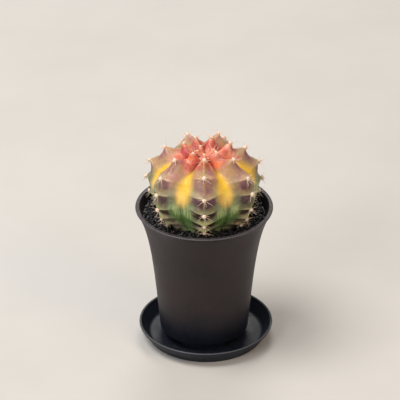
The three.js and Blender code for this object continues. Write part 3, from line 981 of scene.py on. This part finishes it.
# %% Model the wool
WOOL_SHAPE = Matrix.Diagonal((1.2, 1.2, 1.05))  # the core's radii, across and up
LUMPS = ((2.6, 0.16), (7, 0.09))  # how fine and how high
FIBRES = 90
FIBRE_LENGTH = (0.35, 0.8)
FIBRE_RADIUS = 0.045
FIBRE_DEPTH = 0.88  # where its root is, as a share of the core's radius
FIBRE_STRAY = 0.45
TUFTS = 3
CROWN_WOOL = 0.15  # how much smaller the tufts are at the crown, and near the grit
LOW_WOOL = 0.25


def model_tuft(dice):
    """A felted core with fibres round it, on the ground plane, about 1 mm in radius."""
    bm = bmesh.new()
    core = bmesh.ops.create_icosphere(bm, subdivisions=3, radius=1)["verts"]
    shift = Vector((dice.uniform(-9, 9), 0, 0))
    for vert in core:
        lump = sum(noise.noise(vert.co * fine + shift) * high for fine, high in LUMPS)
        vert.co = WOOL_SHAPE @ (vert.co * (1 + lump))
    for _ in range(FIBRES):
        turn = dice.uniform(0, FULL_TURN)
        lean = math.acos(dice.uniform(-0.05, 1))
        out = Vector((math.sin(lean) * math.cos(turn), math.sin(lean) * math.sin(turn), math.cos(lean)))
        length = dice.uniform(*FIBRE_LENGTH)
        root = Matrix.Translation(WOOL_SHAPE @ out * FIBRE_DEPTH)
        stray = Vector([dice.uniform(-FIBRE_STRAY, FIBRE_STRAY) for _ in range(3)])
        bmesh.ops.create_cone(
            bm, cap_ends=True, cap_tris=True, segments=3, radius1=FIBRE_RADIUS, radius2=0, depth=length,
            matrix=root @ turn_to((out + stray).normalized()) @ Matrix.Translation((0, 0, length / 2)),
        )
    return kept_mesh("tuft", bm)


def model_wool():
    dice = random.Random(21)
    tufts = [model_tuft(dice) for _ in range(TUFTS)]
    bm = bmesh.new()
    for number, seat in enumerate(SEATS):
        turn = any_turn(dice)
        size = seat["size"] * dice.uniform(0.92, 1.08)
        size *= 1 - LOW_WOOL * ease(seat["polar"], 88, 112)
        size *= 1 - CROWN_WOOL * ease(seat["polar"], 50, 30)
        lifted = Matrix.Translation(seat["middle"] + seat["facing"] * 0.1 * size)
        add_copy(bm, tufts[number % TUFTS], lifted @ turn_to(seat["facing"]) @ turn @ Matrix.Scale(size, 4))
    return bm


def make_wool_material():
    material, tree, place = new_material("areole_wool")
    clumps = mottled(tree, place, 900.0, 0.3, 0.7)
    creamy = blend(tree, clumps, (1.0, 0.86, 0.72), (0.93, 0.66, 0.52))
    set_shader(
        tree,
        base_color=layered(tree, creamy, (mottled(tree, place, 70.0, 0.5, 0.8), 0.5, (0.78, 0.52, 0.30))),
        roughness=remap(tree, clumps, 0, 1, 0.8, 0.95),
        normal=relief(tree, grain_height(tree, place, 2500.0, 6000.0, 0.6), 0.6, 0.0002),
        sheen_weight=0.3, sheen_roughness=0.5, specular_ior_level=0.15,
    )
    return material


finish_piece("areole_wool", model_wool(), make_wool_material(), "cactus")

# %% [markdown]
# ## Spines
#
# The spines are thin, straw coloured needles, a little bent, seven to an areole and shorter at the
# crown and beside the grit. They could be curves with a thickness, but real cones export as they are.
# One straight cone with a few rings is bent three ways, and copies are placed in about the directions
# that the CAD solid has. One more stands out from the skin and one points up the rib, because they show
# in the photograph's outline. The lowest lie along the grit.

# %% Model the spines
# Each one's direction round the areole, from straight down the rib, its lift from the skin and length
SPINES = [
    (0, 38, 4.8), (58, 30, 5.5), (-58, 30, 5.5), (112, 44, 5.0), (-112, 44, 5.0), (30, 66, 5.2),
    (180, 58, 3.8),
]
SPINE_RADIUS = 0.17
SPINE_FULL_LENGTH = 5.4
SPINE_TIP = 0.18  # of the radius at its base
SPINE_SIDES = 5
SPINE_RINGS = 5
SPINE_BENDS = (0.10, -0.07, 0.15)
SPINE_SEAT = 0.8  # how far from the areole's middle it leaves the wool, and how far below its top
SPINE_SINK = 0.45
SPINE_ROOT = 0.5  # the length that is sunk in the skin
SPINE_STRAY = 9  # in degrees
SPINE_GROWTH = (0.85, 1.12)  # how much its length may vary
LOW_SPINES = 0.16  # how much shorter they are near the grit
GRIT_TOP = RIM - 5.3
GRIT_PEAK = GRIT_TOP + 1.8  # the top of its highest grains
SPINE_AIR = 0.5  # kept between a low spine and the grit


def model_spine(bend):
    """A spine one unit long, upright on the ground plane and bent towards +X."""
    bm = bmesh.new()
    thick = SPINE_RADIUS / SPINE_FULL_LENGTH
    bmesh.ops.create_cone(
        bm, cap_ends=True, segments=SPINE_SIDES, radius1=thick, radius2=thick * SPINE_TIP, depth=1,
        matrix=Matrix.Translation((0, 0, 0.5)),
    )
    sides = [edge for edge in bm.edges if abs(edge.verts[0].co.z - edge.verts[1].co.z) > 0.5]
    bmesh.ops.subdivide_edges(bm, edges=sides, cuts=SPINE_RINGS)
    for vert in bm.verts:
        vert.co.x += bend * vert.co.z**2
    return kept_mesh("spine", bm)


def spine_matrix(seat, spine, dice):
    """Where a spine stands: at its areole's edge, turned round it, lifted from the skin and scaled."""
    size = 0.4 + 0.6 * seat["size"]
    *angles, longest = spine
    turn, lift = (math.radians(angle + dice.uniform(-SPINE_STRAY, SPINE_STRAY)) for angle in angles)
    length = longest * size * dice.uniform(*SPINE_GROWTH)
    length *= 1 - LOW_SPINES * ease(seat["polar"], 62, 96)
    sideways = seat["down"] * math.cos(turn) + seat["across"] * math.sin(turn)
    direction = sideways * math.cos(lift) + seat["facing"] * math.sin(lift)
    start = seat["middle"] + sideways * SPINE_SEAT * size - seat["facing"] * SPINE_SINK * size
    start.z = max(start.z, GRIT_PEAK + SPINE_AIR)
    lowest = GRIT_PEAK + SPINE_AIR - start.z
    if direction.z * length < lowest:
        # it would end in the grit, so it keeps its length and loses its dip
        dip = lowest / length
        level = Vector((direction.x, direction.y, 0)).normalized() * math.sqrt(1 - dip**2)
        direction = Vector((level.x, level.y, dip))
    root = Matrix.Translation(start - direction * SPINE_ROOT)
    return root @ turn_to(direction) @ any_turn(dice) @ Matrix.Scale(length + SPINE_ROOT, 4)


def model_spines():
    dice = random.Random(11)
    models = [model_spine(bend) for bend in SPINE_BENDS]
    bm = bmesh.new()
    along = bm.verts.layers.float.new("along")
    for seat in SEATS:
        for spine in SPINES:
            model = dice.choice(models)
            added = add_copy(bm, model, spine_matrix(seat, spine, dice))
            for vert, source in zip(added, model.vertices):
                vert[along] = source.co.z
    return bm


def make_spine_material():
    material, tree, place = new_material("straw_spine")
    along = attribute(tree, "along")
    drift = mottled(tree, place, 160.0)
    straw = layered(
        tree, (0.80, 0.58, 0.36),
        (remap(tree, along, 0.15, 0.9), 1, (0.88, 0.66, 0.50)),
        (remap(tree, along, 0.86, 1.0, 0, 0.6), 1, (0.45, 0.20, 0.12)),
        (drift, 0.4, (0.92, 0.78, 0.62)),
    )
    set_shader(
        tree, base_color=straw, roughness=remap(tree, drift, 0, 1, 0.38, 0.5),
        normal=relief(tree, grain_height(tree, place, 3000.0, 7000.0, 0.3), 0.2, 0.0001),
        specular_ior_level=0.4,
    )
    return material


finish_piece("spines", model_spines(), make_spine_material(), "cactus", 60)

# %% [markdown]
# ## Turned shapes
#
# The pot, the saucer, the bed of grit and the soil are all round, so each starts as an outline of
# radius and height and is spun about the upright axis. With use_merge the last step joins the first,
# and merging doubles closes the poles. Holes and notches are then cut with a Boolean modifier, because
# the real tool cuts them from the round shape in the same way.

# %% Helpers for turned shapes
POT = {
    "height": 80, "base_radius": 25.7, "taper": 0.085, "flare": 7.5, "flare_depth": 16, "wall": 1.6,
    "lip_extra": 0.8, "lip_depth": 2.5, "floor": 2, "foot_height": 4, "foot_radius": 22.5, "foot_wall": 2.5,
    "foot_notch": 9, "foot_notches": 4, "middle_hole": 4, "drain_hole": 2.5, "drain_circle": 13,
    "drain_holes": 6,
}
SAUCER = {
    "height": 9, "rim_radius": 39.2, "base_radius": 33.2, "floor": 1.5, "wall": 1.4, "centre": (1, -1),
}
WALL_FOOT = SAUCER["floor"] + POT["foot_height"]
SOIL_FLOOR = WALL_FOOT + POT["floor"]
TURN_STEPS = 144
DOUBLES = 1e-4  # points closer than this are merged


def pot_radius(height):
    depth = RIM - height
    flare = POT["flare"] * math.exp(-depth / POT["flare_depth"])
    return POT["base_radius"] + POT["taper"] * (POT["height"] - depth) + flare


def pot_bore(height):
    lip = POT["lip_extra"] * math.exp((height - RIM) / POT["lip_depth"])
    return pot_radius(height) - POT["wall"] - lip


def arc(radius, height, size, start, end, steps):
    """Points of an arc from one angle to another, in degrees anticlockwise from straight out."""
    angles = [math.radians(start + (end - start) * i / steps) for i in range(steps + 1)]
    return [(radius + size * math.cos(a), height + size * math.sin(a)) for a in angles]


def turned(outline, closed=False, centre=(0, 0)):
    bm = bmesh.new()
    verts = [bm.verts.new((radius, 0, height)) for radius, height in outline]
    edges = [bm.edges.new(pair) for pair in zip(verts, verts[1:])]
    if closed:
        edges.append(bm.edges.new((verts[-1], verts[0])))
    bmesh.ops.spin(
        bm, geom=verts + edges, cent=(0, 0, 0), axis=(0, 0, 1), angle=FULL_TURN, steps=TURN_STEPS,
        use_merge=True,
    )
    bmesh.ops.remove_doubles(bm, verts=bm.verts, dist=DOUBLES)
    bmesh.ops.recalc_face_normals(bm, faces=bm.faces)
    bmesh.ops.translate(bm, vec=(*centre, 0), verts=bm.verts)
    return bm


def cut_away(bm, cutters):
    """The shape without what the cutters take, by a Boolean modifier that is then applied."""
    blank = add_object("blank", kept_mesh("blank", bm))
    cutter = add_object("cutters", kept_mesh("cutters", cutters))
    modifier = blank.modifiers.new("cut", "BOOLEAN")
    modifier.operation = "DIFFERENCE"
    modifier.solver = "EXACT"
    modifier.object = cutter
    evaluated = blank.evaluated_get(bpy.context.evaluated_depsgraph_get())
    result = bmesh.new()
    result.from_mesh(evaluated.to_mesh())
    evaluated.to_mesh_clear()
    for used in (blank, cutter):
        bpy.data.objects.remove(used)
    bmesh.ops.remove_doubles(result, verts=result.verts, dist=DOUBLES)
    return result


print("pot radius at the lip and the foot:", round(pot_radius(RIM), 2), round(pot_radius(WALL_FOOT), 2))

# %% [markdown]
# ## Grit
#
# The plant is dressed with black, angular crumbs of pumice, 2 to 4 mm across. A few kinds of crumb are
# made from an icosphere whose corners are pushed in and out, with narrow bevels that catch the light.
# They are scattered at random, but a crumb is only kept where it lies against the skin and the pot at
# most, give or take its corners, and doesn't sink far into another one. Under them lies a solid bed
# that closes the gaps.

# %% Model the grit
GRIT_BOTTOM = RIM - 11
GRAIN_KINDS = 12
GRAIN_SIZES = (0.95, 1.75)
GRAIN_LAYERS = ((-0.35, 2600), (0.45, 4200), (0.95, 3600))  # height over the bed, and attempts
GRAIN_CELL = 3.6  # of the grid that finds the neighbours of a grain
GRAIN_BEVEL = 0.07
GRAIN_OVERLAP = 0.72  # the share of their radii that two grains keep between their middles
INNERMOST_GRAIN = 20
GRAIN_TO_POT = 0.9  # the shares of its radius that a grain keeps from the pot and from the skin
GRAIN_TO_SKIN = 0.8
BED_TOP = GRIT_TOP - 0.6
BED_BORE = (18.2, 25.8)  # of the bed round the plant's buried base, below and on top
BED_AIR = 0.35  # left between the bed and the pot


def model_grain(dice):
    bm = bmesh.new()
    bmesh.ops.create_icosphere(bm, subdivisions=1, radius=1)
    for vert in bm.verts:
        vert.co *= dice.uniform(0.72, 1.15)
    flat = dice.uniform(0.62, 0.85)
    wide = dice.uniform(0.8, 1.0)
    bmesh.ops.scale(bm, vec=(1, wide, flat), verts=bm.verts)
    bmesh.ops.bevel(
        bm, geom=bm.edges[:], offset=GRAIN_BEVEL, affect="EDGES", segments=1, profile=0.5, material=-1,
    )
    return kept_mesh("grain", bm)


def grain_spots(dice):
    """Middles and sizes of the grains, none of which sinks far into another."""
    cells = {}
    spots = []
    lifts = [lift for lift, attempts in GRAIN_LAYERS for _ in range(attempts)]
    for lift in lifts:
        size = dice.uniform(*GRAIN_SIZES)
        height = GRIT_TOP + lift + dice.uniform(-0.25, 0.25)
        outermost = pot_bore(height) - size * GRAIN_TO_POT
        radius = math.sqrt(dice.uniform(INNERMOST_GRAIN**2, outermost**2))
        azimuth = dice.uniform(0, FULL_TURN)
        at = Vector((radius * math.cos(azimuth), radius * math.sin(azimuth), height))
        near, normal, _, distance = SKIN_TREE.find_nearest(at)
        if distance < size * GRAIN_TO_SKIN or (at - near).dot(normal) < 0:
            continue
        column, row = int(at.x // GRAIN_CELL), int(at.y // GRAIN_CELL)
        around = [cells.get((column + i, row + j), []) for i in (-1, 0, 1) for j in (-1, 0, 1)]
        others = [other for cell in around for other in cell]
        if any((at - other).length < GRAIN_OVERLAP * (size + reach) for other, reach in others):
            continue
        cells.setdefault((column, row), []).append((at, size))
        spots.append((at, size))
    return spots


def model_grit():
    dice = random.Random(5)
    kinds = [model_grain(dice) for _ in range(GRAIN_KINDS)]
    bm = turned([
        (BED_BORE[0], GRIT_BOTTOM),
        (pot_bore(GRIT_BOTTOM) - BED_AIR, GRIT_BOTTOM),
        (pot_bore(GRIT_TOP) - BED_AIR, BED_TOP),
        ((pot_bore(GRIT_TOP) + BED_BORE[1]) / 2, BED_TOP),
        (BED_BORE[1], BED_TOP),
    ], closed=True)
    tone = bm.verts.layers.float.new("tone")
    spots = grain_spots(dice)
    for at, size in spots:
        tilt = Matrix.Rotation(dice.uniform(-0.5, 0.5), 4, "X")
        matrix = Matrix.Translation(at) @ tilt @ any_turn(dice) @ Matrix.Scale(size, 4)
        shade = dice.random()
        for vert in add_copy(bm, dice.choice(kinds), matrix):
            vert[tone] = shade
    print("grains:", len(spots))
    return bm


def make_grit_material():
    material, tree, place = new_material("black_grit")
    tone = attribute(tree, "tone")
    specks = mottled(tree, place, 1400.0, 0.62, 0.72)
    stone = layered(
        tree, (0.012, 0.012, 0.014),
        (remap(tree, tone, 0.55, 1.0), 1, (0.035, 0.032, 0.037)),
        (remap(tree, tone, 0.93, 0.97, 0, 0.8), 1, (0.06, 0.045, 0.04)),
        (specks, 0.5, (0.075, 0.072, 0.08)),
    )
    set_shader(
        tree, base_color=stone, roughness=remap(tree, specks, 0, 1, 0.42, 0.62),
        normal=relief(tree, grain_height(tree, place, 1100.0, 3000.0, 0.5), 0.5, 0.0002),
        specular_ior_level=0.4,
    )
    return material


finish_piece("grit_grains", model_grit(), make_grit_material(), "grit", 20)

# %% [markdown]
# ## Soil
#
# Under the grit the pot is filled with dark peat, which only shows through the drain holes. It is
# spun like the pot, with a hole for the buried base and the tap root, and its skin is pushed in a
# little by noise, so that it crumbles like peat and never meets the wall.

# %% Model the soil
SOIL_AIR = 0.35
SOIL_CRUMB = 0.3
SOIL_STEP = 1.6
SOIL_HEIGHTS = (20, 35, 52, 63, 71)  # at which its outline follows the pot
SOIL_BORE = 18  # radius of its hole at the top


def subdivided(outline, step):
    """The outline with points added, so that none is further than step from the next."""
    points = [outline[0]]
    for (r0, z0), (r1, z1) in zip(outline, outline[1:]):
        count = max(math.ceil(math.hypot(r1 - r0, z1 - z0) / step), 1)
        points += [(r0 + (r1 - r0) * i / count, z0 + (z1 - z0) * i / count) for i in range(1, count + 1)]
    return points


def model_soil():
    hole = [(radius + SOIL_AIR, BURIED_HEIGHT + depth) for radius, depth in ROOT if radius > 0]
    bm = turned(subdivided([
        (0, SOIL_FLOOR),
        *((pot_bore(height) - SOIL_AIR, height) for height in (SOIL_FLOOR, *SOIL_HEIGHTS, GRIT_BOTTOM)),
        (SOIL_BORE, GRIT_BOTTOM),
        *(point for point in hole if point[1] < GRIT_BOTTOM - 1),
        (0, BURIED_HEIGHT + ROOT[-1][1] - SOIL_AIR),
    ], SOIL_STEP))
    bm.normal_update()
    moves = []
    for vert in bm.verts:
        lump = 0.5 + 0.5 * noise.noise(vert.co * 0.55) + 0.35 * noise.noise(vert.co * 1.6)
        edge = vert.co.z > SOIL_FLOOR + 0.1 and vert.co.xy.length > 0.1
        moves.append(vert.normal * -SOIL_CRUMB * min(max(lump, 0), 1) if edge else Vector())
    for vert, move in zip(bm.verts, moves):
        vert.co += move
    return bm


def make_soil_material():
    material, tree, place = new_material("potting_soil")
    crumbs = mottled(tree, place, 650.0, 0.38, 0.62)
    peat = layered(
        tree, (0.018, 0.011, 0.007),
        (crumbs, 1, (0.07, 0.04, 0.024)),
        (mottled(tree, place, 1800.0, 0.64, 0.7), 1, (0.16, 0.10, 0.055)),
    )
    set_shader(
        tree, base_color=peat, roughness=remap(tree, crumbs, 0, 1, 0.82, 0.98),
        normal=relief(tree, grain_height(tree, place, 700.0, 2200.0, 0.6), 0.9, 0.0006),
        specular_ior_level=0.2,
    )
    return material


finish_piece("soil_fill", model_soil(), make_soil_material(), "soil")

# %% [markdown]
# ## Black plastic
#
# The pot and the saucer are moulded from the same near-black plastic, with a satin face. Such plastic
# isn't evenly black: it has a slow drift of tone, a very fine grain, a little dust where it faces up,
# and lips that are worn paler by rubbing; the pale band at the lip is also a painted highlight. Near the
# ground both are painted darker and bluer, as painted shade and painted reflection. One group gives the
# moulded face, and both materials add the dust and the pale lip at their own heights, and the painted
# shade low down.

# %% Moulded face and the two plastics
DUST = (0.22, 0.2, 0.185)
RUBBED_AND_HIGHLIT = (0.19, 0.188, 0.205)
# How far below the lip the pale band starts, is full, and begins and ends to lessen again: rubbing wear and
# a painted highlight
RUBBED_AND_HIGHLIT_BAND = (0.7, 0.3, 0.2, 0)
LOW_SHADE_AND_REFLECTION = (0.0035, 0.0068, 0.015)  # painted shade and a bluish painted reflection: darker and bluer near the ground
LOW_SHADE_HEIGHTS = (34, 6)


def make_moulded_face():
    inputs = {"Dark": (0.02, 0.02, 0.022, 1), "Pale": (0.04, 0.038, 0.04, 1)}
    group, given, made = new_group("moulded_face", inputs, ["Color", "Roughness", "Height"])
    vector = given["Vector"]
    drift = times(group, mottled(group, vector, 45.0, 0.3, 0.7), 0.7)
    tone = calculate(group, "ADD", drift, times(group, mottled(group, vector, 380.0, 0.4, 0.75), 0.3))
    group.links.new(blend(group, tone, given["Dark"], given["Pale"]), made["Color"])
    group.links.new(remap(group, tone, 0, 1, 0.46, 0.6), made["Roughness"])
    group.links.new(grain_height(group, vector, 1500.0, 5000.0, 0.5), made["Height"])
    return group


MOULDED_FACE = make_moulded_face()


def make_plastic(name, dark, pale, lip_height, dust):
    material, tree, place = new_material(name)
    face = use_group(tree, MOULDED_FACE, place, dark=dark, pale=pale)
    height = height_of(tree, place)
    start, full, less, top = ((lip_height - below) * MM for below in RUBBED_AND_HIGHLIT_BAND)
    near_lip = times(tree, remap(tree, height, start, full), remap(tree, height, top, less, 0.35, 1))
    # rubbing wear and a painted highlight along the lip
    rubbed_and_highlit = rough_edged(tree, place, near_lip, 300.0, 0.9)
    # painted shade and painted reflection, darker and bluer towards the ground
    low_shade = remap(tree, height, *(level * MM for level in LOW_SHADE_HEIGHTS), 0, 0.95)
    settled = use_group(tree, SETTLED_DUST, place, scale=800.0, amount=dust)["Mask"]
    set_shader(
        tree,
        base_color=layered(
            tree, face["Color"], (low_shade, 1, LOW_SHADE_AND_REFLECTION), (rubbed_and_highlit, 0.42, RUBBED_AND_HIGHLIT), (settled, 1, DUST),
        ),
        roughness=calculate(tree, "ADD", face["Roughness"], times(tree, settled, 0.3)),
        normal=relief(tree, face["Height"], 0.22, 0.00012),
        specular_ior_level=0.34,
    )
    print("finish:", name)
    return material


# %% [markdown]
# ## Pot
#
# The pot tapers straight up and then flares to a thicker, rounded lip. It is an outline of the wall,
# outside and inside, with the floor and the foot ring. The drain holes and the notches in the foot,
# which let water out into the saucer, are cut from the turned shape.

# %% Model the pot
WALL_DEPTHS = (1.6, 2.6, 3.8, 5.4, 7.4, 9.8, 12.6, 16, 20, 25, 31, 38, 46, 56, 68)
LIP_ROUNDING = 0.7
FOOT_ROUNDING = 0.25
HEEL_ROUNDING = 1.2
HEEL_INSET = 1.1  # where that rounding starts, in from the base radius


def pot_outline():
    foot_outer = POT["foot_radius"]
    foot_inner = foot_outer - POT["foot_wall"]
    toe = SAUCER["floor"] + FOOT_ROUNDING
    mouth = pot_radius(RIM) - LIP_ROUNDING
    bore = pot_bore(RIM) + LIP_ROUNDING / 2
    return [
        (0, WALL_FOOT),
        (foot_inner, WALL_FOOT),
        (foot_inner, toe),
        *arc(foot_inner + FOOT_ROUNDING, toe, FOOT_ROUNDING, 180, 270, 3),
        *arc(foot_outer - FOOT_ROUNDING, toe, FOOT_ROUNDING, 270, 360, 3),
        (foot_outer, WALL_FOOT),
        *arc(POT["base_radius"] - HEEL_INSET, WALL_FOOT + HEEL_ROUNDING, HEEL_ROUNDING, 270, 360, 6),
        *((pot_radius(RIM - depth), RIM - depth) for depth in reversed(WALL_DEPTHS)),
        *arc(mouth, RIM - LIP_ROUNDING, LIP_ROUNDING, 0, 90, 7),
        *arc(bore, RIM - LIP_ROUNDING / 2, LIP_ROUNDING / 2, 90, 180, 5),
        *((pot_bore(RIM - depth), RIM - depth) for depth in WALL_DEPTHS),
        (pot_bore(SOIL_FLOOR), SOIL_FLOOR),
        (0, SOIL_FLOOR),
    ]


def pot_cutters():
    """The drain holes and the notches of the foot ring, as separate closed shapes."""
    bm = bmesh.new()
    circle = POT["drain_circle"]
    turns = [FULL_TURN * i / POT["drain_holes"] for i in range(POT["drain_holes"])]
    drains = [(POT["drain_hole"], circle * math.cos(turn), circle * math.sin(turn)) for turn in turns]
    for radius, x, y in [(POT["middle_hole"], 0, 0), *drains]:
        bmesh.ops.create_cone(
            bm, cap_ends=True, segments=32, radius1=radius, radius2=radius, depth=POT["floor"] + 2,
            matrix=Matrix.Translation((x, y, WALL_FOOT + POT["floor"] / 2)),
        )
    deep = POT["foot_height"] - 1
    reach = POT["foot_radius"] - POT["foot_wall"] / 2
    shift = Matrix.Translation((reach, 0, SAUCER["floor"] + (deep - 1) / 2))
    size = Matrix.Diagonal((POT["foot_wall"] * 3, POT["foot_notch"], deep + 1, 1))
    for i in range(POT["foot_notches"]):
        turn = Matrix.Rotation(math.pi * (2 * i + 1) / POT["foot_notches"], 4, "Z")
        bmesh.ops.create_cube(bm, size=1, matrix=turn @ shift @ size)
    return bm


POT_PLASTIC = make_plastic("pot_plastic", (0.0135, 0.0082, 0.0086), (0.031, 0.0195, 0.022), RIM, 0.2)
pot_bm = cut_away(turned(pot_outline()), pot_cutters())
finish_piece("flared_pot", pot_bm, POT_PLASTIC, "pot", 40)

# %% [markdown]
# ## Saucer
#
# The drip saucer is a shallow dish with a sloped wall and a rounded lip. The pot stands a little off
# its middle. It needs no cuts, so the spun outline is the whole piece.

# %% Model the saucer
HEEL = 1.6  # radius of the rounding under its wall
COVE = 2  # of the one between its floor and its wall


def saucer_outline():
    height, rim, base = SAUCER["height"], SAUCER["rim_radius"], SAUCER["base_radius"]
    floor, wall = SAUCER["floor"], SAUCER["wall"]
    lip = wall / 2
    lean = (rim - base - HEEL) / (height - HEEL)
    inner_floor = base + HEEL - wall - COVE + 0.3
    return [
        (0, 0),
        (base - 0.4, 0),
        *arc(base - 0.2, HEEL, HEEL, 272, 318, 5),
        (base + HEEL, HEEL + 0.1),
        (rim - 0.45 * lean, height - lip - 0.8),
        *arc(rim - lip, height - lip, lip, 0, 180, 10),
        (rim - wall - 0.6 * lean, height - lip - 1),
        *arc(inner_floor + 0.2, floor + COVE + 0.4, COVE + 0.35, 340, 272, 6),
        (inner_floor - 0.4, floor),
        (0, floor),
    ]


SAUCER_PLASTIC = make_plastic(
    "saucer_plastic", (0.008, 0.0082, 0.0105), (0.015, 0.015, 0.018), SAUCER["height"], 0.15,
)
saucer_bm = turned(saucer_outline(), centre=SAUCER["centre"])
finish_piece("drip_saucer", saucer_bm, SAUCER_PLASTIC, "saucer", 40)

# %% [markdown]
# ## Floor
#
# The floor is only a stage. It gets a plain pale finish with a barely visible drift of tone, so that
# it looks like painted board and draws no attention.

# %% Make the floor
FLOOR_SIZE = 6


def make_floor():
    bm = bmesh.new()
    bmesh.ops.create_grid(bm, x_segments=1, y_segments=1, size=FLOOR_SIZE / 2)
    floor = add_object("floor", kept_mesh("floor", bm))
    material, tree, place = new_material("pale_board")
    board = blend(tree, mottled(tree, place, 6.0, 0.3, 0.7), (0.56, 0.54, 0.51), (0.60, 0.58, 0.55))
    set_shader(tree, base_color=board, roughness=0.7, specular_ior_level=0.3)
    floor.data.materials.append(material)
    print("floor:", FLOOR_SIZE, "m")


make_floor()
